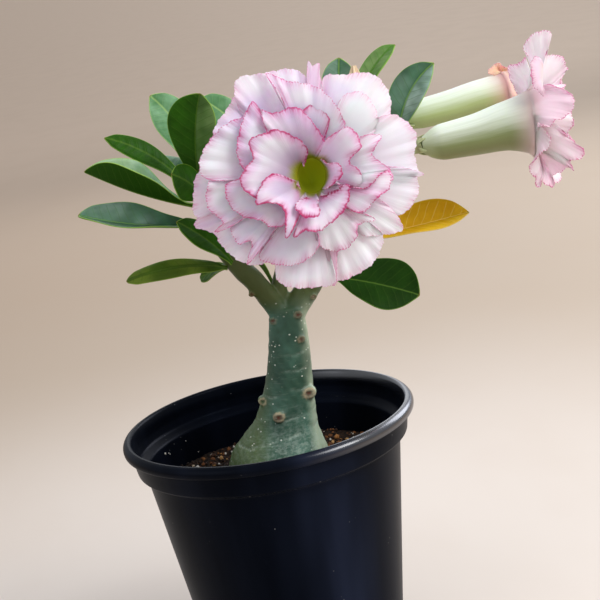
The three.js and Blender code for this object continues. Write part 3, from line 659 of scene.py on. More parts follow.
@dataclass(frozen=True)
class Bark:
    """Smooth green skin under a whitish bloom, with pale flecks, creases, corky leaf scars and a painted
    highlight down its right side.
    """

    teal: str = "2C4B39"
    light_teal: str = "436A58"
    dark: str = "1F3D30"
    olive: str = "50602A"
    pale: str = "B8C4A6"
    branch: str = "444F22"
    bloom: str = "A6B4A6"
    line: str = "9DB09A"
    crease: str = "BCC8B6"
    fleck: str = "E4E8D8"
    cork: str = "BFAE8C"
    core: str = "62301F"

    def material(self) -> bpy.types.Material:
        """Builds the finish.

        Returns:
            The material.
        """
        p = Painter("bark_skin")
        x, y, z = (p.axis(letter) for letter in "XYZ")
        creases, cork, core = (p.value(key) for key in ("crease", "cork", "core"))
        cloud = p.noise((11, 11, 16), 4)
        mottle = p.noise((1.6, 1.6, 1.1), 5, 0.65)
        lines = p.noise((4.5, 4.5, 0.7), 3, 0.6)
        dark = p.noise((6, 6, 10), 5, 0.6).rise(0.5, 0.68)
        left = (x - 0.21 * z + 13.5).rise(-4, -12) * z.rise(130, 100)
        # Painted highlight: a pale streak down the stem's right side, where the light falls.
        right = (x - 0.09 * z + 0.2 * y).rise(3.5, 9) * z.rise(148, 138)
        bloom = (1 - 0.6 * left) * z.rise(110, 86) * (0.75 * mottle + 0.25 * lines).rise(0.4, 0.62)
        flecks = p.cells((2.3, 2.3, 1.7)).rise(0.22, 0.1) * p.noise((8, 8, 7), 2).rise(0.48, 0.58)
        shade = p.layers(
            self.teal,
            (cloud.rise(0.3, 0.7), self.light_teal),
            (0.45 * dark, self.dark),
            (0.8 * left, self.olive),
            # painted highlight on the right side
            (0.7 * right * cloud.rise(0.15, 0.6), self.pale),
            (z.rise(137, 147), self.branch),
            (0.4 * bloom, self.bloom),
            (0.1 * lines.rise(0.55, 0.7) * z.rise(132, 120), self.line),
            (0.35 * creases * (0.3 + 0.7 * mottle.rise(0.4, 0.62)), self.crease),
            (0.85 * flecks * z.rise(150, 135), self.fleck),
            (cork * (0.5 + 0.5 * mottle), self.cork),
            (core, self.core))
        height = 0.6 * mottle + 0.25 * lines + 0.6 * flecks - 0.8 * creases
        return p.surface(shade, 0.42 + 0.2 * mottle + 0.2 * cork, p.bump(height, 0.16, 0.7), {
            "Subsurface Weight": 0.06, "Subsurface Scale": 0.002, "Specular IOR Level": 0.35})


@dataclass(frozen=True)
class LeafSkin:
    """A waxy leaf: net of side veins, pale midrib and margin, duller under side, and painted sheen on its
    upper side.

    Attributes:
        name: The material's name.
        face: The upper side's colour.
        light: Its lighter patches.
        under: The lower side's colour.
        margin: The colour of margin, midrib and veins.
        veins: How strongly the side veins show.
        rib: How strongly the midrib shows.
        gloss: Its roughness where it is smoothest.
        painted_shine: The colour of its painted sheen: a painted reflection of the sky and painted light on
            its lit half.
        withered: The colour of its dried tip.
    """

    name: str
    face: str
    light: str
    under: str
    margin: str
    veins: float = 0.25
    rib: float = 0.5
    gloss: float = 0.3
    painted_shine: str = "B2CBBC"
    withered: str = "7A5A2E"

    def material(self) -> bpy.types.Material:
        """Builds the finish.

        Returns:
            The material.
        """
        p = Painter(self.name)
        across, along, margin, sheen = (p.value(key) for key in ("across", "along", "margin", "sheen"))
        upper = p.value("upper")
        cloud = p.noise((9, 9, 9))
        fine = p.noise((0.9, 0.9, 0.9))
        wander = p.noise((6, 6, 6), 1)
        beat = p.maths("FRACT", (along - VEIN_SLANT * abs(across)) / VEIN_STEP + 0.5 * wander)
        vein = abs(beat - 0.5).rise(0.09, 0.0) * margin.rise(0.3, 1.6)
        rib = abs(across).rise(0.55, 0.15)
        # Painted sheen: patches of painted reflection and light on the upper side, as strong as the leaf's
        # sheen value.
        painted_gleam = p.noise((14, 14, 8), 2).rise(0.32, 0.66)
        front = p.layers(
            self.face,
            (cloud.rise(0.3, 0.75), self.light),
            (self.veins * vein + 0.04 * fine, self.margin),
            (self.rib * rib, self.margin),
            (sheen * (0.3 + 0.7 * painted_gleam) * (1 - 0.4 * vein), self.painted_shine))
        shade = p.layers(
            self.under,
            (0.4 * rib + 0.03 * vein, self.margin),
            (upper, front),
            (0.55 * margin.rise(0.28, 0.08), self.margin),
            (0.7 * p.value("point"), self.withered))
        rough = self.gloss + 0.12 * fine + 0.25 * (1 - upper)
        return p.surface(shade, rough, p.bump(0.5 * fine - 0.7 * vein, 0.09, 0.6), {
            "Specular IOR Level": 0.08, "Subsurface Weight": 0.1, "Subsurface Scale": 0.0012,
            "Subsurface Radius": (0.5, 1.0, 0.2)})


@dataclass(frozen=True)
class PetalSkin:
    """A petal: white and lavender body with lavender painted shade on the bloom's upper left, pink bleed,
    magenta edge with short streaks, green at its foot.

    Attributes:
        name: The material's name.
        body: The petal's lightest colour.
        cool: The cooler cast in its clouds, laid on more thickly as painted shade on the bloom's upper left.
        blush: Its pink.
        rim: The colour of its edge.
        edge: Width of the coloured edge, in millimetres.
        bleed: How far the pink reaches in from the edge, in millimetres.
        strength: How strong edge and pink are.
        foot: The colour at its root.
        foot_reach: How far that reaches, as a share of its length.
        hollow: How much painted shade darkens it toward its root.
        painted_root_shade: The colour of that painted shade.
    """

    name: str
    body: str = "FBF7FB"
    cool: str = "DED2F0"
    blush: str = "E6ABD6"
    rim: str = "C4306F"
    edge: float = 0.5
    bleed: float = 4.4
    strength: float = 0.9
    foot: str = "9EA41A"
    foot_reach: float = 0.09
    hollow: float = 0.0
    painted_root_shade: str = "A48FA9"

    def material(self) -> bpy.types.Material:
        """Builds the finish.

        Returns:
            The material.
        """
        p = Painter(self.name)
        rim, along, reach, seed = (p.value(key) for key in ("rim", "along", "reach", "seed"))
        streaks = p.noise(p.vector(along / 1.1, rim / 9.0, seed), 2)
        fine = p.noise(p.vector(along / 0.4, rim / 6.0, seed), 2)
        patch = p.noise(p.vector(along / 8.0, 0.0, seed), 1)
        cloud = p.noise((15, 15, 15), 2)
        haze = p.noise((17, 14, 17), 1).rise(0.4, 0.7)
        # side: 1 toward the open bloom's upper left, 0 toward its lower right; there it lays painted shade as
        # a lavender cast and a pinker haze.
        side = (p.axis("X") - 30.5 - 0.8 * (p.axis("Z") - 196)).rise(34, -26)
        pink = (0.25 + 0.75 * patch.rise(0.25, 0.7)) * rim.rise(self.bleed, 0.2)
        veins = rim.rise(self.bleed * 0.6, 0.1) * (0.6 * fine + 0.4 * streaks).rise(0.46, 0.6)
        width = self.edge * (0.35 + 0.9 * streaks + 0.6 * patch.rise(0.35, 0.75))
        ribs = (0.7 * fine + 0.5 * streaks) * rim.rise(9.0, 1.0)
        shade = p.layers(
            self.body,
            ((0.25 + 0.75 * cloud.rise(0.35, 0.7)) * (0.4 + 0.6 * side), self.cool),
            (0.26 * haze * (0.3 + 0.7 * side) + 0.04, self.blush),
            (p.value("tint"), self.blush),
            # Painted shade: darker toward the root, down in the hollow of the whorls.
            (self.hollow * reach.rise(0.85, 0.1), self.painted_root_shade),
            (0.85 * self.strength * pink, self.blush),
            (0.75 * self.strength * veins * (0.3 + 0.7 * patch.rise(0.3, 0.65)), self.rim),
            (self.strength * (rim / width).rise(1.35, 0.35), self.rim),
            (reach.rise(self.foot_reach * (0.7 + 0.6 * streaks), 0.02), self.foot))
        return p.surface(shade, 0.5 + 0.12 * fine, p.bump(ribs, 0.2, 0.55), {
            "Subsurface Weight": 0.55, "Subsurface Scale": 0.002, "Subsurface Radius": (1.0, 0.6, 0.8),
            "Specular IOR Level": 0.25})


@dataclass(frozen=True)
class FlowerTube:
    """A flower's tube: cream above, green below with painted shade darkening its underside, soft lengthwise
    streaks, and a yellow-green throat.
    """

    name: str
    cream: str = "E6EEDF"
    green: str = "8A9660"
    streak: str = "7C8E56"
    shade: str = "7A7048"
    foot: str = "CBD8A6"
    mouth: str = "D8BDBA"
    throat: str = "BECB16"

    def material(self) -> bpy.types.Material:
        """Builds the finish.

        Returns:
            The material.
        """
        p = Painter(self.name)
        around, along, below = (p.value(key) for key in ("around", "along", "below"))
        streaks = p.noise(p.vector(around * 9.0, along * 1.6), 3, 0.55)
        fine = p.noise(p.vector(around * 34.0, along * 3.0), 2)
        shade = p.layers(
            self.cream,
            ((below + 0.4 * streaks - 0.2).rise(0.06, 0.66), self.green),
            # Painted shade on the tube's underside.
            (0.42 * (below + 0.3 * streaks - 0.15).rise(0.5, 0.85), self.shade),
            (0.35 * streaks.rise(0.48, 0.75) * below.rise(0.15, 0.6), self.streak),
            (0.1 * fine.rise(0.45, 0.7), self.streak),
            (0.5 * along.rise(0.4, 0.05), self.foot),
            (along.rise(0.66, 0.95), self.mouth),
            (p.value("inside"), self.throat))
        return p.surface(shade, 0.48 + 0.1 * fine, p.bump(streaks + 0.3 * fine, 0.07, 0.4), {
            "Subsurface Weight": 0.3, "Subsurface Scale": 0.0016, "Subsurface Radius": (0.9, 1.0, 0.5),
            "Specular IOR Level": 0.35, "Sheen Weight": 0.06})


@dataclass(frozen=True)
class GreenStalk:
    """Stalks and sepals: pale green with brownish clouds."""

    base: str = "BAC794"
    brown: str = "8A7A52"

    def material(self) -> bpy.types.Material:
        """Builds the finish.

        Returns:
            The material.
        """
        p = Painter("calyx_green")
        cloud = p.noise((3, 3, 3))
        fine = p.noise((0.5, 0.5, 0.5))
        shade = p.mix(0.7 * cloud.rise(0.4, 0.75) + 0.15 * fine, self.base, self.brown)
        return p.surface(shade, 0.5 + 0.15 * fine, p.bump(fine, 0.1, 0.6), {"Specular IOR Level": 0.4})


@dataclass(frozen=True)
class DriedPetal:
    """The spent flower: papery tan with brown lengthwise creases, greenish at its foot."""

    cream: str = "E6CDA8"
    brown: str = "8B5A3A"
    foot: str = "9AA05A"

    def material(self) -> bpy.types.Material:
        """Builds the finish.

        Returns:
            The material.
        """
        p = Painter("spent_petal")
        around, along = p.value("around"), p.value("along")
        folds = p.noise(p.vector(around * 7.0, along * 1.8), 4, 0.6)
        shade = p.layers(
            self.cream, (folds.rise(0.48, 0.72), self.brown), (0.6 * along.rise(0.3, 0.0), self.foot))
        return p.surface(shade, 0.6 + 0.2 * folds, p.bump(folds, 0.3, 0.8), {
            "Specular IOR Level": 0.3, "Subsurface Weight": 0.1, "Subsurface Scale": 0.001})


@dataclass(frozen=True)
class PaperFloor:
    """The studio floor: pale warm paper with a very soft mottle, painted shade in the middle distance and on
    the left, and painted light far off.
    """

    near: str = "DBD0C6"
    middle: str = "B8A897"
    far: str = "F3DCC6"
    left: str = "A98F78"
    mottle: str = "B59C84"

    def material(self) -> bpy.types.Material:
        """Builds the finish.

        Returns:
            The material.
        """
        p = Painter("floor_paper")
        x, y = p.axis("X"), p.axis("Y")
        away = (x * x + y * y) ** 0.5
        mottle = p.noise((60, 110, 60))
        # Painted shade on the floor's left side, in the distance.
        left = (x / (y + 900)).rise(0.18, -0.22) * away.rise(250, 900)
        shade = p.layers(
            self.near,
            # Painted shade in the middle distance, where the lamps' light falls off, and painted light far
            # off to meet the horizon's colour.
            (away.rise(90, 560), self.middle),
            (away.rise(600, 2400), self.far),
            (0.42 * left, self.left),
            (0.06 * mottle.rise(0.35, 0.75), self.mottle))
        return p.surface(shade, 0.9 + 0.05 * mottle, None, {"Specular IOR Level": 0.1})


def dress(piece: bpy.types.Object, material: bpy.types.Material, slot: str, *nodes: str) -> bpy.types.Object:
    """Gives a piece its material, its place in the frame and the nodes it stands for.

    Args:
        piece: The finished piece.
        material: Its material.
        slot: The name of a material slot; it is not used.
        nodes: CAD nodes that it replaces.

    Returns:
        The piece.
    """
    piece.data.materials.clear()
    piece.data.materials.append(material)
    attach(piece, BODY)
    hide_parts(*nodes)
    log.info("%s: %d faces for %s", piece.name, len(piece.data.polygons), ", ".join(nodes))
    return piece


# -------- pot and soil


@dataclass(frozen=True)
class Pot:
    """Tapered nursery pot with a stepped collar, a rolled lip and drain holes in its floor.

    Attributes:
        rim_underside: Height of the lip's lower edge.
        body_top: The body's radius where the collar begins.
        floor: Height of the floor's upper side.
        sunk: How far the middle of the base stands off the ground.
        flare: How much wider the collar is at its top than at its bottom.
        ring_step: The wall's rings of points lie closer together than this.
    """

    height: float = 100
    rim_radius: float = 57
    rim_inner: float = 53.4
    rim_underside: float = 95.6
    collar_radius: float = 53.4
    collar_bottom: float = 87.4
    body_top: float = 49.9
    base_radius: float = 37.9
    wall: float = 1.5
    floor: float = 1.8
    sunk: float = 0.6
    flare: float = 0.9
    drain_holes: int = 6
    drain_radius: float = 3.6
    drain_ring: float = 28
    ring_step: float = 6
    sides: int = 192

    def body_radius(self, z: float) -> float:
        """The outer wall's radius at a height below the collar: a straight taper."""
        return self.base_radius + (self.body_top - self.base_radius) * z / self.collar_bottom

    def profile(self) -> Grid:
        """Draws the wall's outline.

        Returns:
            Its points from the middle of the sunk base, up outside, over the lip and down inside.
        """
        outer = self.collar_radius + self.flare
        inner = outer - self.wall
        return rounded([
            (0, self.sunk, 0), (self.drain_ring + 6.5, self.sunk, 0.4), (self.drain_ring + 7, 0, 0.3),
            (self.body_radius(0), 0, 1.4), (self.body_top, self.collar_bottom - 1.2, 1.0),
            (self.collar_radius - 0.5, self.collar_bottom, 0.7), (outer, self.rim_underside, 0.8),
            (self.rim_radius - 0.4, self.rim_underside, 1.0), (self.rim_radius, self.height - 2.2, 1.1),
            (self.rim_radius - 1.3, self.height, 1.5), (self.rim_inner + 0.3, self.height, 1.2),
            (self.rim_inner - 0.6, self.rim_underside + 1, 1.4), (inner, self.rim_underside - 2, 0.8),
            (self.collar_radius - self.wall, self.collar_bottom + 2.6, 1.0),
            (self.body_top - self.wall, self.collar_bottom + 0.8, 1.0),
            (self.body_radius(self.floor) - self.wall, self.floor, 1.6), (0, self.floor, 0)])

    def build(self) -> bpy.types.Object:
        """Turns the wall, cuts the drain holes and dresses the pot.

        Returns:
            The pot.
        """
        profile = self.profile()
        walls = [np.linspace(a, b, 1 + max(1, int(np.linalg.norm(b - a) / self.ring_step)), endpoint=False)
                 for a, b in zip(profile, profile[1:])]
        rings = turned(np.vstack(walls)[1:], self.sides)
        draft = Draft()
        draft.add_rings(rings, (np.array([0, 0, profile[0, 1]]), np.array([0, 0, self.floor])))
        pot = draft.write("pot_shell", 35)
        cutter = Draft()
        for i in range(self.drain_holes):
            angle = TURN * i / self.drain_holes
            column = turned(np.array([[self.drain_radius, -2.0], [self.drain_radius, self.floor + 2]]), 32)
            column += np.array([self.drain_ring * math.cos(angle), self.drain_ring * math.sin(angle), 0])
            cutter.add_rings(column, (column[0].mean(0), column[1].mean(0)))
        drill = cutter.write("drain_drill")
        evaluated(pot, [("BOOLEAN", {"object": drill, "operation": "DIFFERENCE", "solver": "EXACT"})])
        bpy.data.objects.remove(drill)
        return dress(pot, MouldedPlastic().material(), "pot_plastic", "pot")


@dataclass(frozen=True)
class Soil:
    """Potting mix below the rim, with loose grains on it and a few crumbs stuck to the wall.

    Attributes:
        clearance: The gap between soil and pot.
        relief: Height of the surface's long waves.
        stem_reach: Radius round the stem that has no loose grains.
    """

    pot: Pot
    top: float = 76
    clearance: float = 0.3
    relief: float = 0.9
    grains: int = 1500
    crumbs: int = 14
    grain_size: tuple[float, float] = (0.45, 1.25)
    stem_reach: float = 19.0
    seed: int = 11

    def level(self, x: Grid, y: Grid) -> Grid:
        """The surface: a few long waves and short crumbs, as sums of products of sines.

        Args:
            x: Places to the right of the pot's axis.
            y: Places behind it.

        Returns:
            The height at each place.
        """
        long = np.sin(x * 0.61 + 1.3 * np.sin(y * 0.47)) * np.sin(y * 0.53 + 0.9)
        long += 0.5 * np.sin(x * 1.37 + y * 1.11)
        short = np.sin(2.9 * x + 1.7 * np.sin(2.3 * y)) * np.sin(3.3 * y + 1.1 * np.sin(1.9 * x))
        return self.top + self.relief * long * 0.8 + 0.35 * short

    def bed(self) -> bpy.types.Object:
        """Builds the body of the soil, closed below, with its crumbled top.

        Returns:
            The piece.
        """
        low = self.pot.floor + 0.3
        rim, foot = (self.pot.body_radius(z) - self.pot.wall - self.clearance for z in (self.top, low))
        sides, steps, below = 200, 90, 8
        radius = np.concatenate([np.linspace(2, foot, below), [rim], rim * (1 - np.arange(1, steps) / steps)])
        height = np.concatenate([np.full(below, low), np.full(steps, self.top)])
        rings = turned(np.column_stack([radius, height]), sides)
        inner = rings[below + 1:]
        inner[..., 2] = self.level(inner[..., 0], inner[..., 1])
        draft = Draft()
        centre = np.array([0, 0, float(self.level(np.zeros(1), np.zeros(1))[0])])
        draft.add_rings(rings, (np.array([0, 0, low]), centre))
        return dress(draft.write("soil_bed"), PottingMix().material(), "soil", "soil")

    def grit(self) -> bpy.types.Object:
        """Builds loose grains: jittered twenty-faced lumps over the surface and a few on the pot's wall.

        Returns:
            The piece.
        """
        random = np.random.default_rng(self.seed)
        golden = (1 + 5**0.5) / 2
        corners = unit(np.array([(a, b * golden, 0) for a in (-1, 1) for b in (-1, 1)]))
        corners = np.vstack([corners, np.roll(corners, 1, 1), np.roll(corners, 2, 1)])
        faces = lump_faces(corners)
        rim = self.pot.body_radius(self.top) - self.pot.wall - 1.2
        angle = random.uniform(0, TURN, self.grains)
        radius = np.sqrt(random.uniform(self.stem_reach**2, rim**2, self.grains))
        x, y = radius * np.cos(angle), radius * np.sin(angle)
        size = random.uniform(*self.grain_size, self.grains) * random.uniform(0.6, 1, self.grains)
        places = np.stack([x, y, self.level(x, y) + 0.35 * size], -1)
        height = random.uniform(self.top + 2, self.pot.collar_bottom, self.crumbs)
        turn = random.uniform(math.pi * 0.35, math.pi * 1.2, self.crumbs)
        wall = self.pot.body_radius(height) - self.pot.wall
        stuck = np.stack([wall * np.cos(turn), wall * np.sin(turn), height], -1)
        places = np.vstack([places, stuck])
        size = np.concatenate([size, random.uniform(0.25, 0.6, self.crumbs)])
        tone = np.concatenate([random.uniform(0, 1, self.grains), random.uniform(0.93, 1, self.crumbs)])
        count = len(places)
        stretch = random.uniform(0.6, 1.25, (count, 1, 3)) * random.uniform(0.8, 1.2, (count, 12, 1))
        points = places[:, None] + size[:, None, None] * stretch * corners
        numbers = faces + 12 * np.arange(count)[:, None, None]
        draft = Draft()
        draft.add(points.reshape(-1, 3), [(numbers.reshape(-1, 3), np.zeros((20 * count, 3, 2)))],
                  {"tone": np.repeat(tone, 12)})
        return dress(draft.write("soil_grit", 180), Grit().material(), "soil", "soil")

    def build(self) -> None:
        """Builds the soil's two pieces."""
        self.bed()
        self.grit()


def lump_faces(corners: Grid) -> Grid:
    """The twenty faces of an icosahedron: all triples of corners one edge apart, facing outward.

    Args:
        corners: Its twelve corners, one unit from its middle.

    Returns:
        Three corner numbers for each face.
    """
    near = np.linalg.norm(corners[:, None] - corners[None], axis=-1) < 1.2
    triples = [(a, b, c) for a in range(12) for b in range(a + 1, 12) for c in range(b + 1, 12)
               if near[a, b] and near[b, c] and near[a, c]]
    outward = [np.dot(np.cross(corners[b] - corners[a], corners[c] - corners[a]), corners[a]) > 0
               for a, b, c in triples]
    return np.array([triple if out else triple[::-1] for triple, out in zip(triples, outward)])


# -------- stem


@dataclass(frozen=True)
class Limb:
    """A round limb: the points of its middle line and its radii, evenly spaced from root to tip."""

    points: tuple[Point, ...]
    radii: tuple[float, ...]


@dataclass(frozen=True)
class Scar:
    """Where an old leaf fell: its place, its size, and how strongly its cork and its core show."""

    place: Point
    radius: float
    cork: float = 1.0
    core: float = 1.0


@dataclass(frozen=True)
class Stem:
    """Caudex, trunk, branches and twig as one smooth body with leaf scars and creases."""

    caudex: Limb = Limb(
        ((0, 0, 50), (0.5, 0, 62), (1.5, 0, 76), (4.5, 0, 86.2), (6.9, 0, 95), (9.3, 0, 104.5),
         (11.1, 0, 113), (12.8, 0, 123), (14, 0, 134), (14.4, 0, 141)),
        (4, 15, 20.5, 17.3, 12.5, 10.3, 9, 8.1, 7.2, 6))
    branches: tuple[Limb, ...] = (
        Limb(((13.4, 0, 137), (8.8, -1, 145.4), (5, -2, 152.4), (0.1, -3, 159.7), (-3.9, -4, 167.3),
              (-7, -4, 175), (-9, -3.5, 183), (-9.6, -3, 190.5)),
             (4.6, 4.1, 4, 4.1, 3.9, 3.7, 3.5, 3.4, 2.4)),
        Limb(((14, 1, 139), (13.4, 2, 148), (16.8, 4, 156), (22, 6, 166), (25.5, 7.5, 177), (24, 9, 187),
              (22.5, 9.5, 193)), (3.6, 3.1, 2.9, 2.7, 2.6, 2.2, 1.6)),
        Limb(((15.6, 0, 137), (21.7, 1, 143.4), (29, 3, 151.1), (40.3, 5, 161.3), (52.3, 6, 172.6),
              (61, 6.5, 182), (65, 6.5, 192)), (5, 4.8, 4.6, 4.2, 3.8, 3.6, 3.3, 2.4)),
        Limb(((41, 5.5, 162), (45, 8, 172), (47.5, 10.5, 184), (49, 12, 196.5)), (3, 2.8, 2.5, 1.7)))
    scars: tuple[Scar, ...] = (
        Scar((4.3, -9.9, 101.4), 2.6), Scar((17.6, -5.2, 107.3), 2.8), Scar((18, -5.4, 128.8), 1.8, 0.5, 0.9),
        Scar((18.4, -5, 138.2), 1.9, 0.3, 1.0), Scar((8.6, -3.4, 137.3), 1.7, 0.3, 1.0),
        Scar((-0.6, -2, 106.6), 2, 1, 0), Scar((2.6, -3.6, 148.9), 1.3, 0.3, 0.9),
        Scar((25.4, -2.4, 143.4), 1.4, 0.3, 0.8), Scar((14, 9.2, 112), 2.2), Scar((2, 11.5, 99), 2.4))
    creases: tuple[float, ...] = (92.0, 98.4, 108.5, 116.0, 122.0)
    lobes: float = 0.035
    ring_height: float = 0.35
    pit_depth: float = 0.45
    crease_depth: float = 0.14
    crease_width: float = 0.55
    swell: float = 0.1
    voxel: float = 0.55
    reference: Point = (0, 1, 0)
    caudex_grid: tuple[int, int] = (72, 72)
    branch_grid: tuple[int, int] = (48, 32)
    bump_grid: tuple[int, int] = (14, 20)

    def draft(self) -> Draft:
        """Lays out limbs and scar bumps, the caudex with low lobes near its root.

        Returns:
            All of them as overlapping closed bodies.
        """
        made = Draft()
        for number, limb in enumerate((self.caudex, *self.branches)):
            steps, sides = self.branch_grid if number else self.caudex_grid
            t = np.linspace(0, 1, steps)
            angle = TURN * np.arange(sides) / sides
            swing = np.sin(3 * angle + 0.8) + 0.6 * np.sin(5 * angle)
            lobe = self.lobes * (number == 0) * (1 - t[:, None]) ** 2 * swing
            radii = smooth_values(limb.radii, t)[:, None] * (1 + lobe)
            path = smooth_path(limb.points, t)
            made.add_rings(limb_rings(path, radii, sides, self.reference), (path[0], path[-1]))
        for scar in self.scars:
            rows, sides = self.bump_grid
            t = np.linspace(0.04, 0.96, rows)
            ball = turned(np.column_stack([np.sin(math.pi * t), -np.cos(math.pi * t)]) * scar.radius, sides)
            centre, pole = np.array(scar.place), np.array([0, 0, scar.radius])
            made.add_rings(ball + centre, (centre - pole, centre + pole))
        return made

    def build(self) -> bpy.types.Object:
        """Fuses the limbs, smooths the joins, then raises rings of cork and sinks the creases.

        A point at distance d from a scar of radius r moves out by the ring's height times
        exp(-((d - 0.74 r) / 0.27 r)^2) and in by the pit's depth times exp(-(d / 0.5 r)^2). Near the
        height h of a crease it moves in by the crease's depth times exp(-((z - h) / width)^2), which fades
        in and out round the stem. Low waves, products of two sines, swell the whole skin.

        Returns:
            The stem.
        """
        stem = self.draft().write("stem_bark", 180)
        evaluated(stem, [
            ("REMESH", {"mode": "VOXEL", "voxel_size": self.voxel * MM, "use_smooth_shade": True}),
            ("SMOOTH", {"factor": 0.6, "iterations": 9})])
        places = points_of(stem)
        normals = np.empty(places.size)
        stem.data.vertex_normals.foreach_get("vector", normals)
        normals = normals.reshape(-1, 3)
        x, y, z = places.T
        cork, core, shift = np.zeros((3, len(places)))
        for scar in self.scars:
            front = places - np.array(scar.place) - [0, -scar.radius, 0]
            centre = places[np.argmin(np.linalg.norm(front, axis=1))]
            away = np.linalg.norm((places - centre) * [1, 1, 1.3], axis=1)
            away += 0.3 * np.sin(2.3 * x + 3.1 * z) * np.sin(1.9 * z - 2.6 * x)
            ring = np.exp(-((away - 0.74 * scar.radius) / (0.27 * scar.radius)) ** 2)
            pit = np.exp(-(away / (0.5 * scar.radius)) ** 2)
            cork = np.maximum(cork, scar.cork * ring)
            core = np.maximum(core, scar.core * pit)
            shift += self.ring_height * ring - self.pit_depth * pit
        tilt = z - 0.12 * x + 0.5 * np.sin(0.5 * x)
        crease = sum(np.exp(-((tilt - height) / self.crease_width) ** 2) for height in self.creases)
        crease *= 0.5 + 0.5 * np.sin(0.31 * x + 0.27 * y + 0.9 * z)
        shift -= self.crease_depth * crease
        shift += self.swell * np.sin(1.1 * z + 0.7 * x) * np.sin(0.9 * x - 0.4 * y)
        stem.data.vertices.foreach_set("co", ((places + normals * shift[:, None]) * MM).ravel())
        for key, values in (("cork", cork), ("core", core), ("crease", crease)):
            set_value(stem, key, values)
        stem.data.update()
        return dress(stem, Bark().material(), "bark", "stem")


# -------- leaves


class Tone(Enum):
    """The leaves' finishes."""

    DEEP = LeafSkin("leaf_deep", "1B4004", "265608", "50702E", "86A83E", 0.04, 0.15, 0.36, "A9C87E")
    FRESH = LeafSkin("leaf_fresh", "4F7F50", "83AE86", "7E9F63", "B5D27C", 0.07, 0.4, 0.3)
    MID = LeafSkin("leaf_mid", "28600C", "3A7A16", "6C8E4E", "A2C65A", 0.05, 0.15, 0.34, "B4C48C")
    WAXY = LeafSkin("leaf_waxy", "184226", "2E6240", "5E8430", "9CC45A", 0.06, 0.35, 0.26)
    OLIVE = LeafSkin("leaf_olive", "2A460C", "3E5E14", "5C6E30", "8FA645", 0.04, 0.15, 0.4, "93A640")
    # Folded: its light bluish face is painted sheen, the sky reflected on the far half, and its dark under
    # side is painted shade on the near half.
    FOLDED = LeafSkin("leaf_folded", "6F9C80", "A6C6B2", "244A08", "A6C84E", 0.05, 0.3, 0.3, "B8CC90")
    SHADED = LeafSkin("leaf_shaded", "0E2C02", "173A05", "2E4A18", "6E9038", 0.05, 0.3, 0.55)
    YELLOW = LeafSkin("leaf_yellow", "CC9A06", "DDB01A", "B99A30", "EBD070", 0.35, 0.7, 0.4)


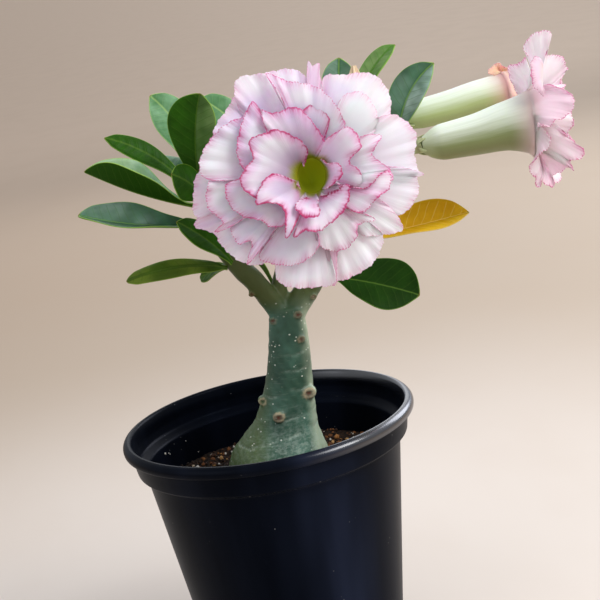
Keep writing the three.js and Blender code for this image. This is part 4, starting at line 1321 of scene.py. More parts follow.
@dataclass(frozen=True)
class Leaf:
    """One leaf: its midrib's base, bend and tip, the way its face looks, and its half width.

    Attributes:
        rise: How far each half of the blade rises from flat about the midrib, in degrees.
        tone: Its finish.
        sheen: How much painted sheen each half gets: a painted reflection of the sky and painted light on its
            lit side.
        swell: Puts the widest place nearer the tip as it grows.
        blunt: Makes both ends rounder as it shrinks.
        wave: Height of its margin's waves as a share of its half width.
    """

    name: str
    base: Point
    bend: Point
    tip: Point
    face: Point
    half: float
    rise: tuple[float, float]
    tone: Tone = Tone.DEEP
    sheen: tuple[float, float] = (0.0, 0.0)
    swell: float = 1.55
    blunt: float = 0.72
    wave: float = 0.05
    columns: int = 41
    rows: int = 96

    def half_width(self, t: Grid) -> Grid:
        """Half the blade's width along the midrib.

        A stalk 0.9 mm to each side, and from there to the tip the half width times sin(pi x^swell) to
        the power blunt, x running from 0 at the stalk's end to 1 at the tip. It narrows to a fine point.

        Args:
            t: Places along the midrib, from 0 at its base to 1 at its tip.

        Returns:
            The half width at each place.
        """
        x = np.clip((t - 0.06) / 0.94, 0, 1)
        blade = np.maximum(0, np.sin(math.pi * x**self.swell)) ** self.blunt
        return 0.9 * (1 - rise(t, 0.9, 1.0)) + 0.12 + (self.half - 0.9) * blade

    def build(self, material: bpy.types.Material) -> bpy.types.Object:
        """Lays out the blade and dresses it.

        The midrib is a quadratic curve through base, bend and tip. A point at s, from -1 to 1 across the
        blade, lies s times the half width out along the side, turned up by its half's rise, with the
        margin waved by a sine that grows with s squared. The midrib is a groove above and a ridge below.

        Args:
            material: The tone's material.

        Returns:
            The leaf.
        """
        t = np.linspace(0, 1, self.rows) ** 0.94
        s = np.sin(np.linspace(-math.pi / 2, math.pi / 2, self.columns))
        base, bend, tip = (np.array(p, float) for p in (self.base, self.bend, self.tip))
        k = t[:, None]
        midrib = (1 - k) ** 2 * base + 2 * k * (1 - k) * bend + k**2 * tip
        heading = unit(2 * (1 - k) * (bend - base) + 2 * k * (tip - bend))
        side = unit(np.cross(heading, np.array(self.face, float)))
        up = unit(np.cross(side, heading))
        width = self.half_width(t)[:, None]
        angle = np.radians(np.where(s < 0, self.rise[0], self.rise[1]))[None]
        fold = np.abs(s) ** 1.15
        wave = self.wave * self.half * np.sin(3.5 * math.pi * t[:, None] + 2 * s) * s * s
        wave *= rise(t, 0.05, 0.3)[:, None]
        lift = fold * width * np.sin(angle) + wave
        flat = s * width * np.cos(angle)
        middle = midrib[:, None] + side[:, None] * flat[..., None] + up[:, None] * lift[..., None]
        across, along = s * width, np.broadcast_to((t * np.linalg.norm(tip - base))[:, None], lift.shape)
        margin = (1 - np.abs(s)) * width + 0 * along
        body = 0.16 + 0.2 * rise(margin, 0.0, 1.2)
        rib = np.exp(-(across / 0.7) ** 2) * rise(1 - t, 0.02, 0.5)[:, None]
        beat = TURN * (along - VEIN_SLANT * np.abs(across)) / VEIN_STEP
        vein = 0.05 * np.sin(beat) * rise(margin, 0.4, 2.0)
        point = np.broadcast_to(rise(t, 0.988, 0.998)[:, None], lift.shape)
        # Painted sheen for each half, strongest away from the midrib and out toward the tip.
        painted_gleam = np.where(s < 0, *self.sheen) * rise(np.abs(across), 0.2, 0.9) * rise(t, 0.05, 0.5)[:, None]
        draft = Draft()
        draft.add_sheet(middle, body - 0.16 * rib + vein, body + 0.42 * rib, {
            "across": across, "along": along, "margin": margin, "point": point, "sheen": painted_gleam})
        slot = "yellow_leaf" if self.tone is Tone.YELLOW else "leaf"
        name = f"leaf_{self.name}"
        return dress(draft.write(name), material, slot, name)


@dataclass(frozen=True)
class Foliage:
    """All leaves, numbered along each branch."""

    leaves: tuple[Leaf, ...] = (
        Leaf("left_1", (-10.5, 1.5, 193), (-9, 14, 213), (-21.5, 14, 227), (0.1, -0.9, 0.4), 7.4, (8, 8),
             Tone.FRESH),
        Leaf("left_2", (-9, -7, 190), (-9, -9, 212), (-2.6, -9, 226.5), (0.05, -1, 0.2), 10.4, (-8, 48),
             sheen=(0.0, 0.34), swell=1.7, blunt=0.66),
        Leaf("left_3", (21.5, 8, 194), (8, 6, 215), (-3, 6, 223.4), (-0.3, -0.6, 0.7), 6, (10, 10),
             Tone.FRESH),
        Leaf("left_4", (-12.5, -1, 191), (-22, 3, 208), (-40.6, 4, 215.5), (0.3, -0.85, 0.6), 4.4, (-4, -4)),
        Leaf("left_5", (-13, -4, 186), (-32, -2, 193), (-50, 0, 205), (0.3, -0.1, 1), 10.6, (60, 73),
             Tone.FOLDED, (0.5, 0.5)),
        Leaf("left_6", (-6.5, -10, 186), (-10, -16, 196), (-18, -20, 201), (0.3, -0.8, 0.5), 7, (-8, -8)),
        Leaf("left_7", (-11, -6.5, 178.5), (-36, -8, 182), (-55, -5, 190), (0.05, -0.05, 1), 9.4, (8, 42),
             Tone.WAXY, (0.05, 0.36), 1.35, 0.55),
        Leaf("left_8", (-2.5, -9.5, 163), (-8, -14, 174), (-19.6, -16, 183), (0.4, -0.7, 0.55), 5, (4, 12)),
        Leaf("left_9", (-4.5, -6.5, 161), (-22, -10, 168), (-42, -10, 163.5), (0, -0.5, 0.85), 4.1, (-16, 6),
             Tone.OLIVE, (0.5, 0.3), swell=1.3, blunt=0.42),
        Leaf("left_10", (-4, 0.5, 160), (-9, 12, 157), (-15.8, 16, 154.7), (0, -0.7, 0.7), 4.2, (8, 8),
             Tone.OLIVE, blunt=0.6),
        Leaf("left_11", (11.5, 5.5, 148.5), (9.5, 9, 159), (-3, 12, 169), (0.5, 0.2, 0.8), 3.8, (20, 20)),
        Leaf("right_1", (47, 14.5, 197), (49, 20, 214), (51.8, 21, 228), (-0.1, -1, 0.2), 6.6, (10, 10),
             Tone.WAXY, (0.6, 0.3)),
        Leaf("right_2", (51.5, 14, 197), (58, 25, 220), (74.5, 26, 228.7), (-0.5, -0.5, 0.85), 6, (12, 12),
             Tone.MID, (0.45, 0.3)),
        Leaf("right_3", (67.5, 4.5, 194.5), (71, 6, 213), (85.3, 6, 221), (-0.45, -0.8, 0.5), 8.2, (8, 20),
             Tone.WAXY, (0.22, 0.85), 1.15, 0.95),
        Leaf("right_4", (45.5, 2.5, 161.5), (62, 4, 160.5), (89.8, 4, 163), (0, -0.1, 1), 9.4, (60, 0),
             Tone.YELLOW),
        Leaf("right_5", (33.5, -1.5, 149), (47, -6, 146.5), (64, -14, 139), (0.15, -0.5, 0.85), 11.4,
             (34, -6), Tone.SHADED),
        Leaf("back_1", (-10.5, 0.5, 187.5), (-17, 18, 200), (-30, 33, 203), (0.1, 0.2, 1), 8.4, (14, 14),
             Tone.WAXY),
        Leaf("back_2", (-7, 0.5, 190.5), (-3, 18, 206), (3, 34, 206), (0, -0.3, 1), 7.8, (14, 14), Tone.MID),
        Leaf("back_3", (64.5, 10, 186), (72, 24, 190), (84, 40, 184), (0, -0.2, 1), 8.2, (14, 14)),
        Leaf("back_4", (46.5, 13.5, 190), (40, 28, 202), (38, 44, 200), (0, -0.2, 1), 7.6, (14, 14),
             Tone.WAXY),
        Leaf("back_5", (22, 11.5, 188), (17, 26, 198), (16, 42, 196), (0, -0.2, 1), 7.4, (14, 14), Tone.MID),
    )

    def build(self) -> None:
        """Builds every leaf with its tone's material."""
        materials = {tone: tone.value.material() for tone in Tone}
        for leaf in self.leaves:
            leaf.build(materials[leaf.tone])


# -------- blooms


@dataclass(frozen=True)
class BloomFrame:
    """A bloom's own frame: X to the viewer's right, Y up, Z toward the viewer, its origin near the mouth."""

    centre: Point
    turn: Point = (76.8, -2, -10.5)

    def to_pot(self, points: Grid) -> Grid:
        """Moves points into the pot's frame: a turn about Z, then Y, then X, then a shift to the centre.

        Args:
            points: Points in the bloom's frame.

        Returns:
            The same points in the pot's frame.
        """
        a, b, c = np.radians(self.turn)
        about_x = np.array([[1, 0, 0], [0, math.cos(a), -math.sin(a)], [0, math.sin(a), math.cos(a)]])
        about_y = np.array([[math.cos(b), 0, math.sin(b)], [0, 1, 0], [-math.sin(b), 0, math.cos(b)]])
        about_z = np.array([[math.cos(c), -math.sin(c), 0], [math.sin(c), math.cos(c), 0], [0, 0, 1]])
        return points @ (about_x @ about_y @ about_z).T + np.array(self.centre)


MAIN_FRAME = BloomFrame((30.5, -42, 195.7))
SIDE_FRAME = BloomFrame((116, -8, 198.5))


@dataclass(frozen=True)
class Petal:
    """One petal in its bloom's frame.

    Attributes:
        rim: Points along its edge from one side of its root to the other.
        root: Points along the line where it leaves the tube, in the same order.
        ruffle: Height of the waves along its edge, as a share of the usual one.
        seed: Starts its random waves and teeth.
        tint: How pink its whole body is.
        crest: How far it swells forward of its rim, between root and rim.
        lean: Points that the body leans toward between root and rim; without them it follows crest.
        grain: Millimetres from one column to the next.
        rows: Rows from root to rim.
    """

    rim: Grid
    root: Grid
    ruffle: float
    seed: int
    tint: float
    crest: float = 0.0
    lean: Grid | None = None
    grain: float = 0.5
    rows: int = 30

    def add_to(self, draft: Draft, frame: BloomFrame) -> None:
        """Lays the petal out and adds it to a draft.

        Seen from the front a point runs straight from the root at v = 0 to the toothed rim at v = 1. With
        x its distance from the root over the petal's mean length, its depth is (1-x)^2 * root
        + 2x(1-x) * (edge + crest) + x^2 * edge, so that a deep notch leaves the body smooth, and the rim's
        own tilt grows with v. A petal that leans runs through (1-v)^2 * root + 2v(1-v) * lean + v^2 * rim
        instead. Waves along the rim, which grow with v to the power 3.5, move a leaning petal square to its
        body and any other petal forward.

        Args:
            draft: The draft.
            frame: The bloom's frame.
        """
        random = np.random.default_rng(self.seed)
        length = even_path(self.rim, 50)[1]
        columns = int(np.clip(length / self.grain, 36, 150))
        end, _ = even_path(self.rim, columns)
        start, _ = even_path(self.root, columns)
        along = np.linspace(0, length, columns)
        teeth = ripples(along, TEETH, random)
        end[:, :2] += unit(end[:, :2] - start[:, :2]) * teeth[:, None]
        v = np.linspace(0, 1, self.rows)[:, None]
        w = v[..., None]
        if self.lean is None:
            points = (1 - w) * start + w * end
            away = np.linalg.norm(points[..., :2] - start[None, :, :2], axis=-1)
            reach = np.linalg.norm(end[:, :2] - start[:, :2], axis=-1)
            x = away / np.average(reach, weights=reach)
            level = end[:, 2].mean()
            points[..., 2] = ((1 - x) ** 2 * start[:, 2] + 2 * x * (1 - x) * (level + self.crest)
                              + x**2 * level + (end[:, 2] - level) * v)
        else:
            lean, _ = even_path(self.lean, columns)
            points = (1 - w) ** 2 * start + 2 * w * (1 - w) * lean + w**2 * end
        waves = ripples(along, RUFFLES, random)
        pleats = ripples(along, PLEATS, random)
        sway = ripples(along, SWAY, random)
        shift = self.ruffle * v**3.5 * waves + v**6 * pleats + 0.4 * self.ruffle * v * (1 - v) * sway
        normal = unit(np.cross(np.gradient(points, axis=1), np.gradient(points, axis=0)))
        points += shift[..., None] * (normal if self.lean is not None else np.array([0, 0, 1]))
        edge = points[-1]
        rim = np.min(np.linalg.norm(points[:, :, None] - edge[None, None, ::2], axis=-1), axis=2)
        thickness = 0.09 + 0.09 * rise(rim, 0, 2.5)
        values = {"along": along, "reach": v, "seed": 3.7 * (self.seed % 97), "tint": self.tint}
        values = {"rim": rim, **{key: np.broadcast_to(value, rim.shape) for key, value in values.items()}}
        draft.add_sheet(frame.to_pot(points), thickness, thickness, values)


@dataclass(frozen=True)
class Tube:
    """A hollow flower tube: the points of its middle line from foot to mouth, its radii and its wall."""

    points: tuple[Point, ...]
    radii: tuple[float, ...]
    wall: float = 0.7
    bottom: float = 0.1
    sides: int = 72
    steps: int = 60
    ribs: float = 0.012

    def add_to(self, draft: Draft, frame: BloomFrame) -> None:
        """Adds the tube as one closed wall: rings up the outside, over the mouth and down the inside.

        The outer radius has five low ribs, 1 + ribs * cos(5 angle), that fade toward the foot. The inner
        radius is the outer less the wall, times 1 - x^3, where x runs from 0 at the mouth to 1 where the
        hollow ends in a rounded bottom.

        Args:
            draft: The draft.
            frame: The bloom's frame.
        """
        t = np.linspace(0, 1, self.steps)
        path = smooth_path(self.points, t)
        angle = TURN * np.arange(self.sides) / self.sides
        lobe = 1 + self.ribs * np.cos(5 * angle + 0.6) * rise(t, 0.1, 0.5)[:, None]
        outer = smooth_values(self.radii, t)[:, None] * lobe
        reference = (0, 0, 1) if abs(path[-1, 0] - path[0, 0]) > 10 else (1, 0, 0)
        shell = limb_rings(path, outer, self.sides, reference)
        hollow = t > self.bottom
        inner = (outer - self.wall) * (1 - ((1 - t) / (1 - self.bottom)) ** 3)[:, None]
        lining = limb_rings(path, np.maximum(inner, 0.05), self.sides, reference)[hollow][::-1]
        rings = frame.to_pot(np.concatenate([shell, lining]))
        middle = frame.to_pot(path)
        below = 0.5 - 0.5 * unit(rings - rings.mean(1, keepdims=True))[..., 2]
        inside = np.concatenate([np.zeros(len(shell)), np.ones(len(lining))])
        reach = np.concatenate([t, t[hollow][::-1]])
        spread = np.broadcast_to(angle / TURN, below.shape)
        values = {"around": np.abs(spread - 0.5) * 2, "along": np.broadcast_to(reach[:, None], below.shape),
                  "below": below, "inside": np.broadcast_to(inside[:, None], below.shape)}
        draft.add_rings(rings, (middle[0], middle[hollow][0]), values)


@dataclass(frozen=True)
class Calyx:
    """A flower's stalk with small pointed sepals round the tube's foot.

    Attributes:
        name: The piece's name.
        node: The CAD node that it replaces.
        frame: Its bloom's frame, in which its points are given.
        stalk: The stalk.
        foot: Where the sepals leave the stalk.
        reach: A point further along the tube, toward which they grow.
        length: How long a sepal is.
        start: How far from the tube's middle line it begins.
        spread: How far from that line it ends.
        half: Half its width.
    """

    name: str
    node: str
    frame: BloomFrame
    stalk: Limb
    foot: Point
    reach: Point
    length: float
    start: float
    spread: float
    half: float
    count: int = 5
    thickness: float = 0.5
    steps: int = 36
    sides: int = 28

    def build(self, material: bpy.types.Material) -> bpy.types.Object:
        """Builds stalk and sepals.

        A sepal's middle line leaves the foot's ring, start wide, and opens to spread with the sine of a
        quarter turn; its half width shrinks with the power 0.8 of the way left to its tip.

        Args:
            material: The green finish.

        Returns:
            The piece.
        """
        draft = Draft()
        t = np.linspace(0, 1, self.steps)
        path = smooth_path(self.stalk.points, t)
        reference = (0, 0.3, 1) if path[0, 0] < -20 else (1, 0, 0)
        rings = limb_rings(path, smooth_values(self.stalk.radii, t), self.sides, reference)
        ends = self.frame.to_pot(path[[0, -1]])
        draft.add_rings(self.frame.to_pot(rings), (ends[0], ends[1]), {"upper": np.ones(rings.shape[:2])})
        axis = unit(np.array(self.reach) - np.array(self.foot))
        across = unit(np.cross(axis, np.array([0.31, 0.72, 0.62])))
        s, v = np.linspace(-1, 1, 11), np.linspace(0, 1, 24)[:, None]
        for i in range(self.count):
            angle = TURN * i / self.count
            out = across * math.cos(angle) + np.cross(axis, across) * math.sin(angle)
            side = np.cross(axis, out)
            width = self.half * (0.12 + 0.88 * (1 - v) ** 0.8) * np.cos(0.35 * s) * s
            away = self.start + (self.spread - self.start) * np.sin(v * math.pi / 2) - 0.25 * s**2
            middle = (np.array(self.foot) + axis * ((self.length + 1.2) * v - 1.2)[..., None]
                      + out * away[..., None] + side * width[..., None])
            depth = self.thickness / 2 * (0.45 + 0.55 * (1 - s**2)) * np.ones_like(v)
            draft.add_sheet(self.frame.to_pot(middle), depth, depth)
        return dress(draft.write(self.name), material, "calyx", self.node)


@dataclass(frozen=True)
class Outline:
    """A petal of the open bloom: its edge seen from the front, and what sets it apart from its whorl."""

    edge: tuple[tuple[float, float], ...]
    lift: float = 0.0
    ruffle: float = 1.0
    tint: float = 0.0


@dataclass(frozen=True)
class Whorl:
    """One ring of petals: where its rims lie, its swell, where its roots lie, and its finish."""

    name: str
    edge: float
    crest: float
    root_depth: float
    skin: PetalSkin
    petals: tuple[Outline, ...]


OPEN_WHORLS = (
    Whorl("bloom_petals_inner", 7, -3, -9, PetalSkin(
        "petal_inner", blush="E096C0", edge=0.72, strength=1.0, rim="AC1F56", hollow=0.8, foot_reach=0.26), (
        Outline(((-3.1, 2.9), (-1.8, 5.6), (-1.5, 8.6), (-2.6, 10.2), (-5, 12), (-8.5, 13.6), (-11, 14.5),
                 (-14, 14.5), (-17, 13), (-21, 11.5), (-22, 9), (-20.5, 5), (-23.5, 0.5), (-25, -4),
                 (-20, -9), (-11, -9)), lift=-0.6),
        Outline(((-4.0, -5.6), (-5.2, -4.0), (-6.9, -2.8), (-9.2, -1.3), (-12.1, -0.5), (-14.6, -0.9),
                 (-17, -3.5), (-19, -7.5), (-19.5, -11.5), (-14, -11), (-10, -13), (-9, -23.5), (-4.5, -15.5),
                 (-3.6, -9)), lift=1.0),
        Outline(((-1.7, -8.5), (-3.4, -9.3), (-5.2, -10.4), (-6, -12.3), (-5, -14.1), (-3.3, -15.8),
                 (-0.4, -16.3), (2, -15.6), (2.9, -13.7), (2, -11.6), (2.5, -9.6)), lift=1.6),
        Outline(((3, -8), (7, -7), (12.5, -4.5), (13, -8.5), (11, -13.5), (7, -17.5), (1.5, -21), (-2, -20.5),
                 (-6.5, -23), (-4, -16))),
        Outline(((3.7, 5.6), (5, 3.6), (7.9, 3.1), (9.9, 1.7), (10.6, 0), (9.9, -2.1), (8.3, -3.6),
                 (5, -5.5))),
    )),
    Whorl("bloom_petals_second", 3.4, -0.5, -9.6, PetalSkin(
        "petal_second", blush="E2A0C6", edge=0.58, strength=0.95, rim="BE2C69", hollow=0.35,
        foot_reach=0.24), (
        Outline(((-16, 14), (-17.5, 21.5), (-13.5, 20.5), (-5.5, 22.5), (1.5, 16), (4.5, 10.5), (2, 7))),
        Outline(((-10, 14), (-15.5, 17), (-20.5, 24.5), (-25, 15), (-26, 6), (-23, 0), (-17, -5))),
        Outline(((-19, -1), (-26.5, -2.5), (-30, -4.5), (-28.5, -11.5), (-23.5, -15.5), (-18.5, -16.5),
                 (-14, -19), (-9.5, -18), (-6, -11))),
        Outline(((5, -8), (17, -14), (22.5, -9), (27, -5), (26.5, 1), (23, -1.5), (19, -5.5), (9, -4))),
        Outline(((5, 12), (13, 15.5), (17, 9), (13, 4), (17, 0), (18.5, -5), (9.5, -4))),
        Outline(((-6, 17), (-3.5, 21.5), (-0.5, 23.5), (3, 22.5), (6, 19), (4, 11)), lift=-4.2, ruffle=0.4),
    )),
    Whorl("bloom_petals_third", -0.4, 1.0, -10.2, PetalSkin(
        "petal_third", blush="E8B0D0", edge=0.46, strength=0.85, rim="C93C79", hollow=0.15), (
        Outline(((12, 11), (20.5, 13.5), (24, 13), (21, 6.5), (27, 1.5), (28, -2), (21, -4), (12, -4))),
        Outline(((9, -12), (22, -16), (16, -18), (15.5, -22), (11, -26.5), (4, -26), (0.5, -21), (0, -15))),
        Outline(((-10, -18), (-18.5, -29), (-13, -31.5), (-5, -31.5), (1, -27.5), (2.5, -24), (0, -17))),
        Outline(((-28, -8), (-28.5, -18), (-25.5, -24.5), (-21, -23.5), (-22.5, -31.5), (-16, -24),
                 (-12, -18))),
        Outline(((-24, -3), (-34, -1.5), (-36.5, -5.5), (-36, -12), (-31, -17), (-34, -20.5), (-27, -18),
                 (-20, -13))),
        Outline(((-27, -3), (-37.5, -1.5), (-39, 3.5), (-35.5, 11.5), (-29, 17.5), (-20, 21.5), (-20.5, 24.5),
                 (-13, 16))),
        Outline(((-9, 18), (-10, 25), (-16, 35), (-8.5, 32), (1.5, 30), (8, 24), (11.5, 16), (7, 11))),
    )),
    Whorl("bloom_petals_outer", -5, 2.4, -10.8, PetalSkin(
        "petal_outer", blush="EDB6CC", edge=0.32, strength=0.6, rim="D65C91", hollow=0.2), (
        Outline(((6, 17), (11, 27), (17, 28.5), (21, 24.5), (23, 17.5), (18, 10)), lift=1.8, ruffle=0.5),
        Outline(((-21, 15), (-26.5, 26), (-26, 33), (-16.5, 35), (-7, 36.5), (-2.5, 34), (-1, 25))),
        Outline(((-17, 24), (-26.5, 27), (-29.5, 22.5), (-34, 14), (-26, 6))),
        Outline(((-4, 26), (-2.2, 31), (-1.7, 35.6), (-1.3, 39.3), (0.2, 37.7), (2.5, 38.4), (2.6, 34.5),
                 (3.6, 31), (3, 25)), lift=0.8, ruffle=0.9, tint=0.22),
        Outline(((3, 25), (4, 33.5), (10.5, 34.5), (20.5, 35), (26.5, 29), (27, 20), (22, 8)), lift=-1.0),
        Outline(((18, 18), (29, 20.5), (36, 14), (35.5, 7), (36.5, 0), (27, -5)), lift=-0.4, ruffle=0.7),
        Outline(((24, 3), (34, 1.9), (38.8, 0.1), (36.4, -1.2), (37.2, -5), (33, -12.5), (29, -14), (20, -9)),
                 lift=-0.6, ruffle=0.5),
        Outline(((21, -7), (28, -12.5), (31.5, -19), (24.5, -21), (17, -21), (12, -15)), lift=1.0,
                 ruffle=0.6),
        Outline(((-12, -23), (-12, -36.5), (-7.5, -39), (1.5, -39), (8, -37.5), (6, -28), (3, -22))),
        Outline(((3, -23), (8, -36.5), (16.5, -34), (22, -29.5), (24.5, -21), (16, -15)), lift=-0.8),
        Outline(((-28, 3), (-39.5, 0.5), (-41, -7), (-40.5, -14.5), (-35, -14), (-25, -6))),
        Outline(((-28, -7), (-41, -17.5), (-34, -20.5), (-31, -25), (-24, -30.5), (-17, -31), (-11, -24))),
        Outline(((5.6, -24), (6.6, -33), (7, -38.6), (8.4, -38.2), (8.6, -33), (8.8, -24)), lift=0.6,
                 ruffle=0.3, tint=0.7),
    )),
)


@dataclass(frozen=True)
class OpenBloom:
    """The open double bloom: four whorls of petals round a green throat, on a short tube.

    Attributes:
        frame: Where it is.
        throat: Half width and half height of the ring that the inner whorl's roots stand on.
        throat_step: How much smaller that ring is for each whorl further out.
        root_spread: Least and greatest half angle of a petal's root, in degrees.
        overlap: How far a rim's one end stands forward, and its other end back.
        ruffle: Height of the inner whorl's ruffles, as a share of the usual one.
        ruffle_step: How much that grows for each whorl further out.
        viewing_depth: Distance of the eye from which the outlines were drawn.
    """

    frame: BloomFrame = MAIN_FRAME
    throat: tuple[float, float] = (5.2, 6.6)
    throat_step: float = 0.12
    root_spread: tuple[float, float] = (22, 62)
    overlap: float = 1.1
    ruffle: float = 0.52
    ruffle_step: float = 0.08
    viewing_depth: float = 500
    whorls: tuple[Whorl, ...] = OPEN_WHORLS
    tube: Tube = Tube(((0.5, -8, -37), (0.2, -5.5, -30), (0, -2.5, -20), (0, -0.6, -13), (0, 0, -9)),
                      (2.2, 4.8, 6.3, 6.9, 7.2), bottom=0.55)

    def petal(self, whorl: Whorl, layer: int, number: int) -> Petal:
        """A petal of a whorl, its rim tilted along its length so that each laps over the next.

        Args:
            whorl: The whorl.
            layer: Its number, the innermost 0.
            number: The petal's number in it.

        Returns:
            The petal in the bloom's frame.
        """
        outline = whorl.petals[number]
        edge = whorl.edge + outline.lift
        places = np.array(outline.edge, float)
        first, last = places[0], places[-1]
        if first[0] * last[1] < first[1] * last[0]:
            places = places[::-1]
        tilt = self.overlap * np.linspace(-1, 1, len(places))
        rim = np.column_stack([places * (1 - edge / self.viewing_depth), edge + tilt])
        middle = places.mean(0)
        heading = math.atan2(middle[1], middle[0])
        sides = np.arctan2(places[[0, -1], 1], places[[0, -1], 0]) - heading
        sides = (sides + math.pi) % TURN - math.pi
        spread = np.clip(np.abs(sides), *np.radians(self.root_spread)) * [-1, 1]
        angle = heading + np.linspace(*spread, ROOT)
        wide, high = (radius - self.throat_step * layer for radius in self.throat)
        root = np.stack([wide * np.cos(angle), high * np.sin(angle), np.full(ROOT, whorl.root_depth)], -1)
        ruffle = outline.ruffle * (self.ruffle + self.ruffle_step * layer)
        return Petal(rim, root, ruffle, 100 * layer + 7 * number + 3, outline.tint, whorl.crest)

    def build(self) -> None:
        """Builds one piece for each whorl, and the tube with the throat."""
        for layer, whorl in enumerate(self.whorls):
            draft = Draft()
            for number in range(len(whorl.petals)):
                self.petal(whorl, layer, number).add_to(draft, self.frame)
            dress(draft.write(whorl.name), whorl.skin.material(), "petal", "main_bloom")
        draft = Draft()
        self.tube.add_to(draft, self.frame)
        dress(draft.write("bloom_tube"), FlowerTube("tube_open").material(), "petal", "main_bloom")


@dataclass(frozen=True)
class Lobe:
    """A petal of a side bloom.

    Attributes:
        rim: Points along its edge in the bloom's frame.
        turns: Where its root begins and ends on the mouth's circle, in the rim's order, in degrees from
            the top toward the viewer.
        tint: How pink it is.
        depth: How far inside the mouth its root lies.
        fold: Its root line where that isn't on the mouth, for an edge that rolls over.
    """

    rim: tuple[Point, ...]
    turns: tuple[float, float] = (0.0, 0.0)
    tint: float = 0.2
    depth: float = 0.0
    fold: tuple[Point, ...] = ()


@dataclass(frozen=True)
class SideBloom:
    """A bloom seen from its side: a long tube whose mouth flares into ruffled petals.

    Attributes:
        name: Begins the names of its pieces.
        node: The CAD node that it replaces.
        skin: The petals' finish.
        outside: The tube's finish.
        inset: How far inside the mouth the petals start, along the tube.
        step: How far inside the mouth's circle they start.
        narrowing: How much narrower the root's circle gets with each millimetre of a lobe's depth.
        roll: How far the rolled edge stands forward.
        reach: How far a petal leans on along the tube, and how far outward, as shares of its length.
        ruffle: Height of the waves along a petal's edge, as a share of the usual one.
        fold_ruffle: The same for the rolled edge.
    """

    name: str
    node: str
    frame: BloomFrame
    tube: Tube
    lobes: tuple[Lobe, ...]
    skin: PetalSkin
    seed: int
    outside: FlowerTube
    inset: float = 1.0
    step: float = 0.35
    narrowing: float = 0.9
    roll: float = 2.2
    reach: tuple[float, float] = (0.3, 0.2)
    ruffle: float = 0.7
    fold_ruffle: float = 0.2
    rows: int = 26

    def petal(self, number: int) -> Petal:
        """A petal from the mouth's circle: it leans on along the tube and outward before it meets its rim.

        Args:
            number: The number of its lobe.

        Returns:
            The petal in the bloom's frame.
        """
        lobe = self.lobes[number]
        places = np.array(self.tube.points, float)
        axis = unit(places[-1] - places[-2])
        top = unit(np.array([0, 1, 0]) - axis * axis[1])
        front = np.cross(axis, top)
        turn = np.radians(np.linspace(*lobe.turns, ROOT))[:, None]
        out = np.cos(turn) * top + np.sin(turn) * front
        radius = self.tube.radii[-1] - self.step - self.narrowing * lobe.depth
        root = places[-1] + radius * out - (self.inset + lobe.depth) * axis
        rim = np.array(lobe.rim, float)
        if lobe.fold:
            root = np.array(lobe.fold, float)
            lean = (even_path(rim, ROOT)[0] + even_path(root, ROOT)[0]) / 2 + [0, 0, self.roll]
            ruffle = self.fold_ruffle
        else:
            length = np.linalg.norm(even_path(rim, ROOT)[0] - root, axis=1, keepdims=True)
            onward, outward = self.reach
            lean = root + length * (onward * axis + outward * out)
            ruffle = self.ruffle
        return Petal(rim, root, ruffle, self.seed + 5 * number, lobe.tint, lean=lean, rows=self.rows)

    def build(self) -> None:
        """Builds the petals as one piece and the tube as another."""
        draft = Draft()
        for number in range(len(self.lobes)):
            self.petal(number).add_to(draft, self.frame)
        dress(draft.write(f"{self.name}_petals"), self.skin.material(), "petal", self.node)
        draft = Draft()
        self.tube.add_to(draft, self.frame)
        dress(draft.write(f"{self.name}_tube"), self.outside.material(), "petal", self.node)


